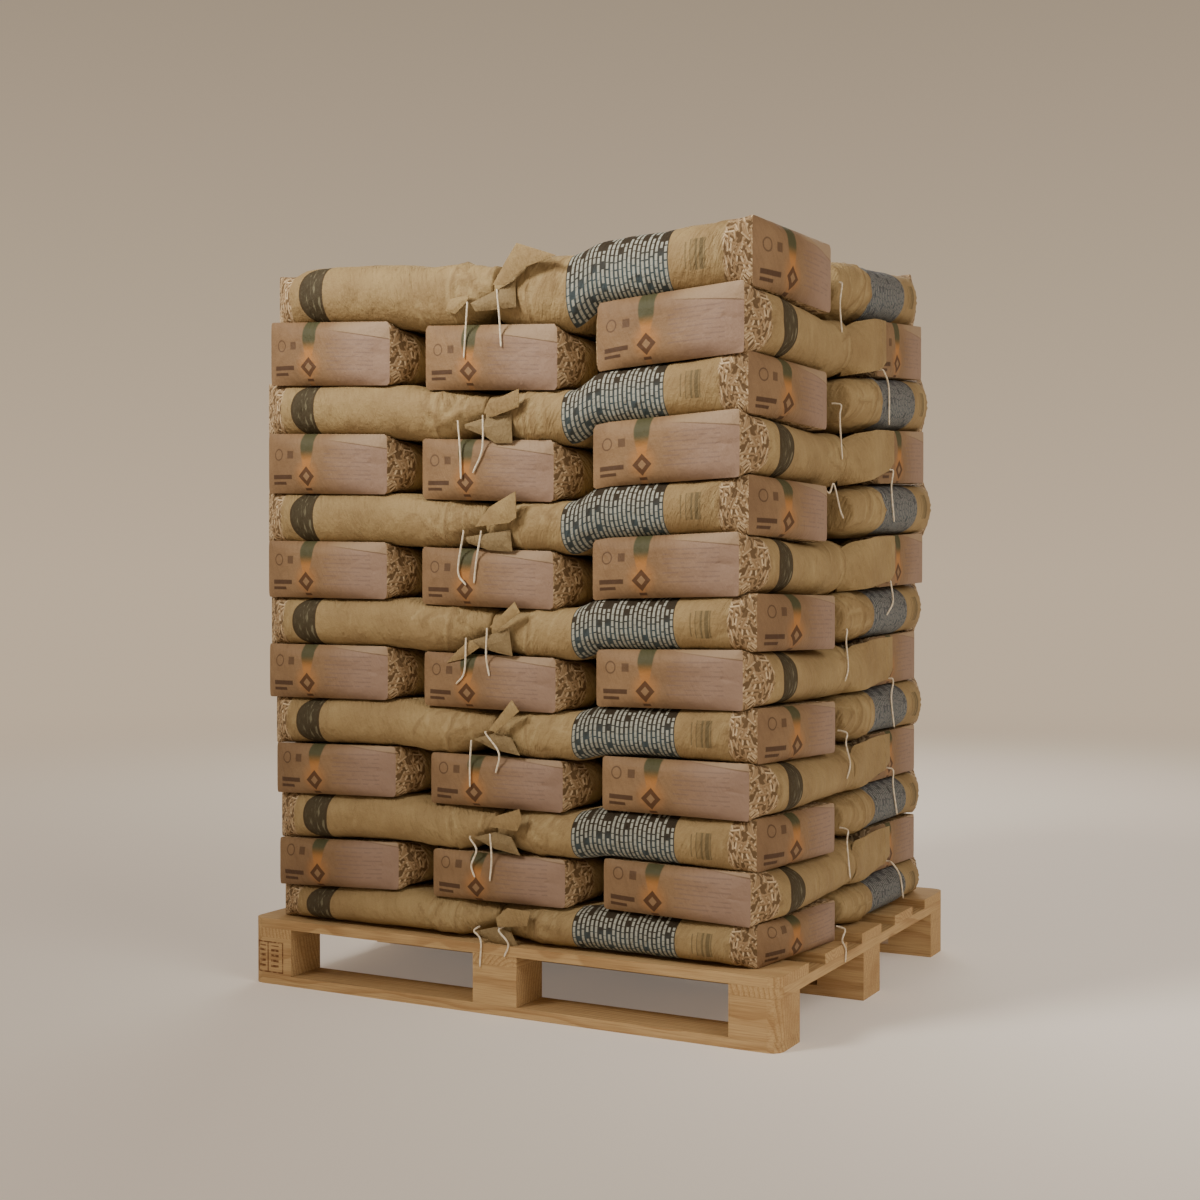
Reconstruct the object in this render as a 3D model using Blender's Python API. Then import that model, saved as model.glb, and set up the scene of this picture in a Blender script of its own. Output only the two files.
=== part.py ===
"""A loaded pallet: 65 filled paper sacks in 13 layers on a wooden block pallet.

Metres, +Z up. The origin is on the floor under the middle of the pallet. X runs along the
pallet's long side, and the side at -Y is the front.
"""
import math
from collections import namedtuple

import bmesh
import bpy
from mathutils import Matrix, Vector

# Pallet
PALLET_LENGTH = 1.200
PALLET_WIDTH = 1.000
BOARD_THICKNESS = 0.020
BLOCK_HEIGHT = 0.078
BLOCK_SIZE = 0.100
CORNER_RADIUS = 0.025
CORNER_SEGMENTS = 3
DECK_EDGE_BOARD = 0.145
DECK_INNER_BOARD = 0.120
DECK_BOARDS = 5

# Clearance between pieces that rest on each other
SEAT_GAP = 0.0003

# Sacks, filled and lying flat. A bottom end bulges out of the fold round its edge
SACK_LENGTH = 0.522
SACK_WIDTH = 0.382
SACK_GAP = 0.005
PAIR_REACH = 0.542
PAIR_GAP = 0.006
END_BULGE = 0.020
SLIGHT_BULGE = 0.007
STACK_FRONT = -0.490
STACK_BACK = 0.455
LAYERS = 13
LOWEST_LAYER_HEIGHT = 0.0925
LAYER_HEIGHT_STEP = 0.0020

# A sack's cross-sections from its pasted bottom end to its sewn top end: distance from the
# fold round the bottom end, half width, depth of the rounded side, squareness of that rounding,
# and how far the section is pinched in at top and bottom, as a share of the layer's height
BULGE_SECTIONS = (
    (1.00, 0.080, 0.012, 4.0, 0.14),
    (0.60, 0.125, 0.012, 4.0, 0.05),
)
SACK_SECTIONS = (
    (0.000, 0.152, 0.012, 4.0, 0.00),
    (0.030, 0.170, 0.040, 2.5, 0.00),
    (0.095, 0.191, 0.070, 2.3, 0.00),
)
TOP_SECTION = (0.172, 0.040, 2.0, 0.12)
TOP_TAPER = 0.107
SIDE_STEPS = 6

# How far the corners of the top row of three stand over and under their layer. The load presses
# those of the lower rows flatter
END_FLARE = 0.0082

# How a bottom end stands askew: the front row's ends lean to the left, and the near right
# end is turned towards the front
FRONT_END_SHIFT = 0.012
RIGHT_END_SLANT = 0.125

# The plain core that ties the five sacks of a layer together inside
CORE_INSET = 0.090
CORE_PINCH = 0.20

# How each layer lies, from the bottom up: sideways shift of the front row, how much further
# apart its sacks lie, the same two of the back row, and how far the back row reaches past the
# back of the stack
LAYER_OFFSETS = (
    (-0.008, 0.002, 0.002, 0.000, 0.000),
    (0.002, 0.002, 0.017, -0.004, 0.000),
    (-0.013, 0.006, 0.002, 0.000, 0.000),
    (-0.003, 0.004, 0.017, -0.004, 0.000),
    (-0.019, 0.013, 0.004, 0.000, 0.000),
    (-0.019, 0.007, 0.017, -0.004, 0.000),
    (-0.026, 0.019, 0.004, 0.000, 0.000),
    (-0.024, 0.004, 0.035, -0.004, 0.000),
    (-0.038, 0.014, 0.004, 0.014, 0.023),
    (-0.023, 0.004, 0.037, -0.004, 0.000),
    (-0.038, 0.013, 0.000, 0.014, 0.013),
    (-0.015, 0.005, 0.031, -0.004, 0.000),
    (-0.019, 0.002, -0.006, 0.000, 0.000),
)

# How the stack has settled under its own weight: lines across it, from left to right and from
# front to back. Each has its place, and how much higher it lies than in a level stack at the top
# of the lowest layer, at the underside of the top layer and at the very top. Both sets add up
SETTLING_ACROSS = (
    (-0.600, -0.024, 0.012, 0.022),
    (-0.230, -0.009, -0.010, 0.004),
    (-0.178, -0.014, -0.023, -0.006),
    (0.158, -0.012, -0.042, -0.009),
    (0.215, -0.004, -0.006, 0.013),
    (0.600, -0.014, 0.021, 0.032),
)
SETTLING_BACKWARD = (
    (-0.490, 0.000, 0.000, 0.000),
    (-0.120, 0.002, -0.020, -0.014),
    (0.120, 0.012, 0.000, -0.010),
    (0.455, 0.002, 0.028, 0.018),
)
CLOSEST_SECTIONS = 0.001

# Loose thread ends, lying against the piece that they hang in front of
THREAD_RADIUS = 0.002
THREAD_SPACING = 0.012
THREAD_SEAT = 0.0024
THREAD_RISE = 0.002
THREAD_DROP = 0.004
ROUTE_STEPS = 24
FRONT_TUCK_ON_DECK = 0.020

# Front thread ends: layer, which of the two, and the route as sideways place and height over
# the underside of the layer
FRONT_THREADS = (
    (13, "a", ((-0.066, 0.019), (-0.070, -0.035), (-0.074, -0.089))),
    (13, "b", ((0.003, 0.039), (0.008, -0.015), (0.012, -0.072))),
    (11, "a", ((-0.088, 0.014), (-0.083, -0.045), (-0.081, -0.100))),
    (11, "b", ((-0.030, 0.022), (-0.032, -0.044), (-0.053, -0.089))),
    (9, "a", ((-0.076, 0.014), (-0.088, -0.063), (-0.070, -0.091))),
    (9, "b", ((-0.035, 0.014), (-0.045, -0.040), (-0.051, -0.087))),
    (7, "a", ((-0.070, 0.014), (-0.074, -0.052), (-0.093, -0.076))),
    (7, "b", ((-0.021, 0.034), (-0.023, -0.019), (-0.016, -0.058))),
    (5, "a", ((-0.058, 0.015), (-0.061, -0.030), (-0.061, -0.076))),
    (5, "b", ((-0.023, 0.034), (0.006, -0.006), (-0.001, -0.045))),
    (3, "a", ((-0.060, 0.020), (-0.046, -0.005), (-0.058, -0.036), (-0.050, -0.059))),
    (3, "b", ((-0.014, 0.027), (-0.011, -0.020), (-0.015, -0.064))),
    (1, "a", ((-0.045, 0.027), (-0.030, 0.006), (-0.032, -0.046))),
    (1, "b", ((0.012, 0.033), (0.033, 0.006), (0.024, -0.020))),
)

# Right hand thread ends: layer, the plane they hang in, how far the start is tucked in, and the
# route as depth and height over the underside of the layer
RIGHT_THREADS = (
    (13, 0.5634, 0.006, ((-0.085, 0.069), (-0.096, 0.024), (-0.085, -0.030))),
    (12, 0.5944, 0.016, ((0.085, 0.025), (0.115, -0.010), (0.118, -0.087))),
    (11, 0.5614, 0.020, ((-0.082, 0.054), (-0.090, 0.025), (-0.076, -0.057))),
    (10, 0.5984, 0.014, ((0.133, 0.042), (0.122, 0.004), (0.140, -0.067))),
    (9, 0.5604, 0.019, ((-0.144, 0.096), (-0.121, 0.110), (-0.086, 0.062), (-0.0658, 0.044))),
    (8, 0.5840, 0.002, ((0.163, 0.021), (0.177, -0.022), (0.137, -0.049))),
    (7, 0.5684, 0.002, ((-0.064, 0.029), (-0.070, 0.005), (-0.058, -0.046), (-0.075, -0.074))),
    (6, 0.5844, 0.018, ((0.178, 0.020), (0.166, -0.022), (0.186, -0.084))),
    (5, 0.5814, 0.020, ((-0.099, 0.029), (-0.105, 0.005), (-0.081, -0.037), (-0.100, -0.065))),
    (4, 0.5824, 0.018, ((0.186, 0.025), (0.186, -0.012), (0.213, -0.076))),
    (3, 0.5844, 0.018, ((-0.100, 0.029), (-0.106, 0.002), (-0.088, -0.071))),
    (2, 0.5824, 0.018, ((0.187, 0.015), (0.235, -0.023), (0.256, -0.074))),
    (1, 0.6024, 0.018, ((-0.166, 0.031), (-0.182, 0.010), (-0.162, -0.012), (-0.165, -0.036))),
)

# Colour, roughness and metallic value of each material
WOOD = ("pine_wood", (0.40, 0.25, 0.12, 1.0), 0.75, 0.0)
PAPER = ("kraft_paper", (0.46, 0.32, 0.17, 1.0), 0.70, 0.0)
THREAD = ("cotton_thread", (0.72, 0.66, 0.52, 1.0), 0.90, 0.0)

# Values that follow from the sizes above
RUNNER_TOP = BOARD_THICKNESS
BLOCK_TOP = RUNNER_TOP + BLOCK_HEIGHT
STRINGER_TOP = BLOCK_TOP + BOARD_THICKNESS
DECK_TOP = STRINGER_TOP + BOARD_THICKNESS
COLUMN_X = (PALLET_LENGTH - BLOCK_SIZE) / 2
ROW_Y = (PALLET_WIDTH - BLOCK_SIZE) / 2
SACK_PITCH = SACK_WIDTH + SACK_GAP
FACING_RIGHT = 0.0
FACING_LEFT = math.pi
FACING_BACK = math.pi / 2
FACING_FRONT = -math.pi / 2

# How one sack lies: the middle of the fold round its bottom end, the way from there to its top,
# its length from that fold, how far the end bulges out, how far its corners stand over and
# under the layer, and how far the end is shifted and slanted across
Lie = namedtuple("Lie", "place facing length bulge flare shift slant")


def clear_scene():
    for old in list(bpy.data.objects):
        bpy.data.objects.remove(old, do_unlink=True)


def make_collection(name):
    collection = bpy.data.collections.new(name)
    bpy.context.scene.collection.children.link(collection)
    return collection


def add_material(obj, finish):
    """Give the object a material of its own."""
    name, colour, roughness, metallic = finish
    material = bpy.data.materials.new(f"{name}_{obj.name}")
    material.use_nodes = True
    shader = material.node_tree.nodes["Principled BSDF"]
    shader.inputs["Base Color"].default_value = colour
    shader.inputs["Roughness"].default_value = roughness
    shader.inputs["Metallic"].default_value = metallic
    obj.data.materials.append(material)


def add_object(name, bm, collection):
    """Turn finished mesh data into an object."""
    mesh = bpy.data.meshes.new(name)
    bm.to_mesh(mesh)
    bm.free()
    obj = bpy.data.objects.new(name, mesh)
    collection.objects.link(obj)
    return obj


def box_mesh(low, high):
    """A box between two corners, at its place."""
    size = Vector(high) - Vector(low)
    middle = (Vector(high) + Vector(low)) / 2
    bm = bmesh.new()
    place = Matrix.Translation(middle) @ Matrix.Diagonal((*size, 1.0))
    bmesh.ops.create_cube(bm, size=1.0, matrix=place)
    return bm


def round_pallet_corners(bm):
    """Round the upright edges that lie on the pallet's own four corners."""
    corner_edges = []
    for edge in bm.edges:
        start, end = (vert.co for vert in edge.verts)
        upright = abs(start.x - end.x) < SEAT_GAP and abs(start.y - end.y) < SEAT_GAP
        at_end = abs(abs(start.x) - PALLET_LENGTH / 2) < SEAT_GAP
        at_side = abs(abs(start.y) - PALLET_WIDTH / 2) < SEAT_GAP
        if upright and at_end and at_side:
            corner_edges.append(edge)
    bmesh.ops.bevel(bm, geom=corner_edges, offset=CORNER_RADIUS, segments=CORNER_SEGMENTS,
                    profile=0.5, affect="EDGES")


def add_wood(name, centre, size, bottom, top, collection):
    """A board or block that stands a hair above what carries it."""
    low = (centre[0] - size[0] / 2, centre[1] - size[1] / 2, bottom)
    high = (centre[0] + size[0] / 2, centre[1] + size[1] / 2, top)
    bm = box_mesh(low, high)
    round_pallet_corners(bm)
    obj = add_object(name, bm, collection)
    add_material(obj, WOOD)


def add_pallet(collection):
    """Runners, blocks, stringer boards and deck boards, from the floor up."""
    columns = (-COLUMN_X, 0.0, COLUMN_X)
    rows = (-ROW_Y, 0.0, ROW_Y)
    for number, y in enumerate(rows, start=1):
        add_wood(f"runner_{number}", (0.0, y), (PALLET_LENGTH, BLOCK_SIZE),
                 0.0, RUNNER_TOP, collection)
    places = [(x, y) for y in rows for x in columns]
    for number, place in enumerate(places, start=1):
        add_wood(f"block_{number}", place, (BLOCK_SIZE, BLOCK_SIZE),
                 RUNNER_TOP + SEAT_GAP, BLOCK_TOP, collection)
    for number, x in enumerate(columns, start=1):
        add_wood(f"stringer_board_{number}", (x, 0.0), (BLOCK_SIZE, PALLET_WIDTH),
                 BLOCK_TOP + SEAT_GAP, STRINGER_TOP, collection)
    widths = [DECK_EDGE_BOARD] + [DECK_INNER_BOARD] * (DECK_BOARDS - 2) + [DECK_EDGE_BOARD]
    slot = (PALLET_WIDTH - sum(widths)) / (DECK_BOARDS - 1)
    y = -PALLET_WIDTH / 2
    for number, width in enumerate(widths, start=1):
        add_wood(f"deck_board_{number}", (0.0, y + width / 2), (PALLET_LENGTH, width),
                 STRINGER_TOP + SEAT_GAP, DECK_TOP, collection)
        y += width + slot


def layer_bottom(layer):
    """Height of the underside of a layer, counted from 1 at the bottom."""
    below = layer - 1
    return DECK_TOP + below * LOWEST_LAYER_HEIGHT + LAYER_HEIGHT_STEP * below * (below - 1) / 2


def between_rows(rows, place):
    """The values at a place between two rows of numbers, each row starting with its place."""
    last_start = len(rows) - 2
    start = min(last_start, sum(place > row[0] for row in rows[1:-1]))
    near, *near_values = rows[start]
    far, *far_values = rows[start + 1]
    share = (place - near) / (far - near)
    return [a + (b - a) * share for a, b in zip(near_values, far_values)]


def settled(point):
    """Where a point of the level stack lies once the stack has settled."""
    across = between_rows(SETTLING_ACROSS, point.x)
    backward = between_rows(SETTLING_BACKWARD, point.y)
    rises = [0.0, *(a + b for a, b in zip(across, backward))]
    heights = (DECK_TOP, layer_bottom(2), layer_bottom(LAYERS), layer_bottom(LAYERS + 1))
    rise, = between_rows(list(zip(heights, rises)), point.z)
    return Vector((point.x, point.y, point.z + rise))


def settle(bm):
    for vert in bm.verts:
        vert.co = settled(vert.co)


def section_ring(half_width, side_depth, squareness, low, high):
    """Points around one cross-section of a sack, as (across, up)."""
    middle = (low + high) / 2
    half_height = (high - low) / 2
    right_side = []
    for step in range(SIDE_STEPS + 1):
        angle = math.pi * (0.5 - step / SIDE_STEPS)
        across = abs(math.cos(angle)) ** (2 / squareness)
        up = math.copysign(abs(math.sin(angle)) ** (2 / squareness), math.sin(angle))
        right_side.append((half_width - side_depth * (1 - across), middle + half_height * up))
    left_side = [(-across, up) for across, up in reversed(right_side)]
    return right_side + left_side


def fold_lines(lie):
    """Distances along a sack at which it crosses a line of the settling."""
    if lie.facing in (FACING_RIGHT, FACING_LEFT):
        return [(row[0] - lie.place[0]) * math.cos(lie.facing) for row in SETTLING_ACROSS]
    return [(row[0] - lie.place[1]) * math.sin(lie.facing) for row in SETTLING_BACKWARD]


def sack_sections(lie):
    """All of one sack's cross-sections, from the tip of its bulge to its top end."""
    bulge = [(-share * lie.bulge, *shape) for share, *shape in BULGE_SECTIONS]
    body = list(SACK_SECTIONS)
    body_start, *full_shape = body[-1]
    body += [(lie.length - TOP_TAPER, *full_shape), (lie.length, *TOP_SECTION)]
    for distance in fold_lines(lie):
        nearest = min(abs(distance - section[0]) for section in body)
        if body_start < distance < lie.length and nearest > CLOSEST_SECTIONS:
            body.append((distance, *between_rows(body, distance)))
            body.sort()
    return bulge + body


def add_sack(bm, lie, low, high):
    """Loft one sack into the mesh, from its bottom end towards its top end."""
    place = Matrix.Translation((*lie.place, 0.0)) @ Matrix.Rotation(lie.facing, 4, "Z")
    height = high - low
    body_start = SACK_SECTIONS[-1][0]
    rings = []
    for distance, half_width, side_depth, squareness, pinch in sack_sections(lie):
        flare = lie.flare if distance == 0.0 else 0.0
        section_low = max(low + pinch * height - flare, DECK_TOP + SEAT_GAP)
        section_high = high - pinch * height + flare
        ring = section_ring(half_width, side_depth, squareness, section_low, section_high)
        skew = min(1.0, max(0.0, 1.0 - distance / body_start))
        rings.append([
            bm.verts.new(place @ Vector((distance + skew * lie.slant * across,
                                         across + skew * lie.shift, up)))
            for across, up in ring
        ])
    bm.faces.new(rings[0])
    bm.faces.new(reversed(rings[-1]))
    for near, far in zip(rings, rings[1:]):
        for index, vert in enumerate(near):
            following = (index + 1) % len(near)
            bm.faces.new((near[following], vert, far[index], far[following]))


def row_of_two(shift, spread, y, right_bulge, slant):
    """Two sacks lengthwise with their tops together and their bottom ends outward."""
    reach = PAIR_REACH + spread
    length = reach - PAIR_GAP / 2
    turned = slant * SACK_SECTIONS[0][1]
    return [
        Lie((shift - reach, y), FACING_RIGHT, length, SLIGHT_BULGE, 0.0, 0.0, 0.0),
        Lie((shift + reach + turned, y), FACING_LEFT, length + turned, right_bulge, 0.0, 0.0,
            slant),
    ]


def row_of_three(shift, spread, y, facing, end_shift, flare):
    """Three sacks side by side with their bottom ends outward."""
    pitch = SACK_PITCH + spread
    return [Lie((shift + column * pitch, y), facing, SACK_LENGTH, END_BULGE, flare, end_shift, 0.0)
            for column in (-1, 0, 1)]


def layer_places(layer):
    """How the five sacks of a layer lie. Odd layers have their pair in front."""
    front_shift, front_spread, back_shift, back_spread, back_reach = LAYER_OFFSETS[layer - 1]
    back = STACK_BACK + back_reach
    flare = END_FLARE * layer / LAYERS
    if layer % 2 == 1:
        pair = row_of_two(front_shift, front_spread, STACK_FRONT + SACK_WIDTH / 2, END_BULGE,
                          RIGHT_END_SLANT)
        return pair + row_of_three(back_shift, back_spread, back, FACING_FRONT, 0.0, flare)
    pair = row_of_two(back_shift, back_spread, back - SACK_WIDTH / 2, SLIGHT_BULGE, 0.0)
    return pair + row_of_three(front_shift, front_spread, STACK_FRONT + END_BULGE, FACING_BACK,
                               FRONT_END_SHIFT, flare)


def cut_across(bm, point, normal):
    """Divide the faces along a plane, and keep both sides."""
    geometry = bm.verts[:] + bm.edges[:] + bm.faces[:]
    bmesh.ops.bisect_plane(bm, geom=geometry, plane_co=point, plane_no=normal)


def add_layer(layer, collection, hidden):
    """Five sacks and the plain core that ties them together inside."""
    low = layer_bottom(layer) + SEAT_GAP
    high = layer_bottom(layer + 1)
    sacks = bmesh.new()
    for lie in layer_places(layer):
        add_sack(sacks, lie, low, high)
    settle(sacks)
    bmesh.ops.recalc_face_normals(sacks, faces=sacks.faces)
    five_sacks = add_object(f"five_sacks_{layer:02d}", sacks, hidden)
    five_sacks.hide_render = True
    five_sacks.display_type = "WIRE"

    reach = PAIR_REACH - CORE_INSET
    pinch = CORE_PINCH * (high - low)
    core = box_mesh((-reach, STACK_FRONT + CORE_INSET, low + pinch),
                    (reach, STACK_BACK - CORE_INSET, high - pinch))
    for x, *_ in SETTLING_ACROSS[1:-1]:
        cut_across(core, (x, 0.0, 0.0), (1.0, 0.0, 0.0))
    for y, *_ in SETTLING_BACKWARD[1:-1]:
        cut_across(core, (0.0, y, 0.0), (0.0, 1.0, 0.0))
    settle(core)
    obj = add_object(f"sack_layer_{layer:02d}", core, collection)
    add_material(obj, PAPER)
    union = obj.modifiers.new("join_sacks", "BOOLEAN")
    union.operation = "UNION"
    union.solver = "EXACT"
    union.object = five_sacks


def smooth_route(route):
    """Evenly spaced points on a smooth curve through a route's own points."""
    points = [route[0] * 2 - route[1], *route, route[-1] * 2 - route[-2]]
    fine = []
    for before, start, end, after in zip(points, points[1:], points[2:], points[3:]):
        for step in range(ROUTE_STEPS):
            t = step / ROUTE_STEPS
            fine.append(0.5 * (2 * start + (end - before) * t
                               + (2 * before - 5 * start + 4 * end - after) * t ** 2
                               + (3 * start - before - 3 * end + after) * t ** 3))
    fine.append(route[-1])
    travelled = [0.0]
    for start, end in zip(fine, fine[1:]):
        travelled.append(travelled[-1] + (end - start).length)
    count = max(2, round(travelled[-1] / THREAD_SPACING))
    spaced = []
    for number in range(count + 1):
        wanted = travelled[-1] * number / count
        index = max(i for i, length in enumerate(travelled[:-1]) if length <= wanted)
        share = (wanted - travelled[index]) / (travelled[index + 1] - travelled[index])
        spaced.append(fine[index].lerp(fine[index + 1], share))
    return spaced


def add_thread(name, route, collection):
    """One loose end of sewing thread as a round tube."""
    curve = bpy.data.curves.new(name, "CURVE")
    curve.dimensions = "3D"
    curve.bevel_depth = THREAD_RADIUS
    curve.bevel_resolution = 2
    curve.use_fill_caps = True
    points = smooth_route(route)
    spline = curve.splines.new("POLY")
    spline.points.add(len(points) - 1)
    for spline_point, place in zip(spline.points, points):
        spline_point.co = (*place, 1.0)
    obj = bpy.data.objects.new(name, curve)
    collection.objects.link(obj)
    add_material(obj, THREAD)


def front_route(layer, places):
    """A front thread's route: out of the seam, then down."""
    on_deck = layer == 1
    edge = -PALLET_WIDTH / 2 if on_deck else STACK_FRONT
    tuck = FRONT_TUCK_ON_DECK if on_deck else 0.0
    hang = edge - THREAD_SEAT
    base = layer_bottom(layer)
    x, z = places[0]
    start = [Vector((x, hang + tuck, base + z + THREAD_RISE)),
             Vector((x, hang + tuck / 2, base + z + THREAD_RISE / 2)),
             Vector((x, hang, base + z - THREAD_DROP))]
    return start + [Vector((x, hang, base + z)) for x, z in places[1:]]


def right_route(layer, hang, tuck, places):
    """A right hand thread's route, in front of the layer below it."""
    base = layer_bottom(layer)
    y, z = places[0]
    start = [Vector((hang - tuck, y, base + z + THREAD_RISE)),
             Vector((hang - tuck / 2, y, base + z + THREAD_RISE / 2)),
             Vector((hang, y, base + z - THREAD_DROP))]
    return start + [Vector((hang, y, base + z)) for y, z in places[1:]]


def add_threads(collection):
    for layer, which, places in FRONT_THREADS:
        add_thread(f"thread_front_{layer:02d}_{which}", front_route(layer, places), collection)
    for layer, hang, tuck, places in RIGHT_THREADS:
        route = right_route(layer, hang, tuck, places)
        add_thread(f"thread_right_{layer:02d}", route, collection)


def main():
    clear_scene()
    parts = make_collection("pallet_of_sacks")
    hidden = make_collection("guides")
    add_pallet(parts)
    for layer in range(1, LAYERS + 1):
        add_layer(layer, parts, hidden)
    add_threads(parts)


main()
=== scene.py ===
"""Looks for a loaded pallet: 65 filled paper sacks in 13 crossed layers on a wooden pallet.

Metres, +Z up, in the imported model's frame. The printing on the sacks is generic.
"""
import math
from collections import namedtuple

import bmesh
import bpy
import numpy as np
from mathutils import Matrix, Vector


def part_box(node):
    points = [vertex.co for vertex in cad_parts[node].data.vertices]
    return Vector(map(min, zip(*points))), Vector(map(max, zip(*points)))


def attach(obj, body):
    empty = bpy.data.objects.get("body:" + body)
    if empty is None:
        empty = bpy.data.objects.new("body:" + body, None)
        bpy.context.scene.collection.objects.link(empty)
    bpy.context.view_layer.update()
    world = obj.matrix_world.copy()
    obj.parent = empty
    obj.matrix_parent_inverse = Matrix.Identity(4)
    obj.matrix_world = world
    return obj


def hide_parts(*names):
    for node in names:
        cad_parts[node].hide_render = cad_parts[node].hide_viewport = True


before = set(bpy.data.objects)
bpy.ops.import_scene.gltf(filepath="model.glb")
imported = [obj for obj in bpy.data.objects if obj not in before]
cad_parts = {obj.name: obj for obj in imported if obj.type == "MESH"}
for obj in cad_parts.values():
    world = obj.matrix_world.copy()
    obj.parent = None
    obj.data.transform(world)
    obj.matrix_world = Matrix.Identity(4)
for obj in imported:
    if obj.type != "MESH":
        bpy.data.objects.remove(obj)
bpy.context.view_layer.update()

# The photograph's camera
CAMERA_PLACE = (1.774, -3.384, 0.865)
CAMERA_TILT = math.radians(90.0 - 0.86)
CAMERA_TURN = math.radians(28.09)
SENSOR_WIDTH = 36.0
FOCAL_LENGTH = 51.9

# How the sacks lie, as in the solids
DECK_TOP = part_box("deck_board_1")[1].z
PALLET_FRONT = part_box("deck_board_1")[0].y
LAYERS = 13
LOWEST_LAYER_HEIGHT = 0.0925
LAYER_HEIGHT_STEP = 0.0020
SEAT_GAP = 0.0003
SACK_LENGTH = 0.522
SACK_WIDTH = 0.382
SACK_PITCH = 0.387
PAIR_REACH = 0.542
PAIR_GAP = 0.006
END_BULGE = 0.020
SLIGHT_BULGE = 0.007
STACK_FRONT = -0.490
STACK_BACK = 0.455
END_FLARE = 0.0082
END_HALF_WIDTH = 0.152
FRONT_END_SHIFT = 0.012
RIGHT_END_SLANT = 0.125
LAYER_OFFSETS = (
    (-0.008, 0.002, 0.002, 0.000, 0.000),
    (0.002, 0.002, 0.017, -0.004, 0.000),
    (-0.013, 0.006, 0.002, 0.000, 0.000),
    (-0.003, 0.004, 0.017, -0.004, 0.000),
    (-0.019, 0.013, 0.004, 0.000, 0.000),
    (-0.019, 0.007, 0.017, -0.004, 0.000),
    (-0.026, 0.019, 0.004, 0.000, 0.000),
    (-0.024, 0.004, 0.035, -0.004, 0.000),
    (-0.038, 0.014, 0.004, 0.014, 0.023),
    (-0.023, 0.004, 0.037, -0.004, 0.000),
    (-0.038, 0.013, 0.000, 0.014, 0.013),
    (-0.015, 0.005, 0.031, -0.004, 0.000),
    (-0.019, 0.002, -0.006, 0.000, 0.000),
)
FACING_RIGHT = 0.0
FACING_LEFT = math.pi
FACING_BACK = math.pi / 2
FACING_FRONT = -math.pi / 2

# How the stack has settled, as in the solids: lines across it and backward, each with its place
# and how much higher it lies at the top of the lowest layer, at the underside of the top layer
# and at the very top
SETTLING_ACROSS = (
    (-0.600, -0.024, 0.012, 0.022),
    (-0.230, -0.009, -0.010, 0.004),
    (-0.178, -0.014, -0.023, -0.006),
    (0.158, -0.012, -0.042, -0.009),
    (0.215, -0.004, -0.006, 0.013),
    (0.600, -0.014, 0.021, 0.032),
)
SETTLING_BACKWARD = (
    (-0.490, 0.000, 0.000, 0.000),
    (-0.120, 0.002, -0.020, -0.014),
    (0.120, 0.012, 0.000, -0.010),
    (0.455, 0.002, 0.028, 0.018),
)
SETTLING_BLEND = 0.010

# A sack's shape along its length, from the fold round its bottom end: (distance, value). The
# last value of each is at the top end, whatever the sack's length
BODY_START = 0.095
TOP_TAPER = 0.107
HALF_WIDTHS = ((0.0, END_HALF_WIDTH), (0.030, 0.171), (0.060, 0.184), (BODY_START, 0.1905))
FULL_HALF_WIDTH = 0.191
TOP_HALF_WIDTH = 0.172
SIDE_DEPTHS = ((0.0, 0.006), (0.012, 0.018), (0.030, 0.040), (BODY_START, 0.069))
FULL_SIDE_DEPTH = 0.070
TOP_SIDE_DEPTH = 0.046
BODY_SQUARENESS = 2.35
SQUARENESS = ((0.0, 6.0), (0.030, 2.7), (BODY_START, BODY_SQUARENESS))
TOP_SQUARENESS = 2.15
FLARES = ((0.0, 1.0), (0.012, 0.62), (0.030, 0.15), (0.045, 0.0))
TOP_END_DIP = 0.017
DIP_START, DIP_END = 0.045, 0.085
PINCH_START = 0.085

# Where the rings of a sack's mesh stand
END_RINGS = (0.0, 0.0012, 0.004, 0.008, 0.014, 0.021, 0.029, 0.038, 0.048, 0.058, 0.068, 0.078,
             0.087, BODY_START)
MIDDLE_STEP = 0.0066
TOP_STEP = 0.0052
HIDDEN_STEP = 0.030
CAP_SHARES = (0.010, 0.04, 0.10, 0.19, 0.31, 0.45, 0.61, 0.80, 1.0)
CAP_SPINE = 0.105
SHOWN_SIDE_STEPS = 30
HIDDEN_SIDE_STEPS = 14
BROAD_STEPS = 10
TOP_LAYER_BROAD_STEPS = 32

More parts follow.
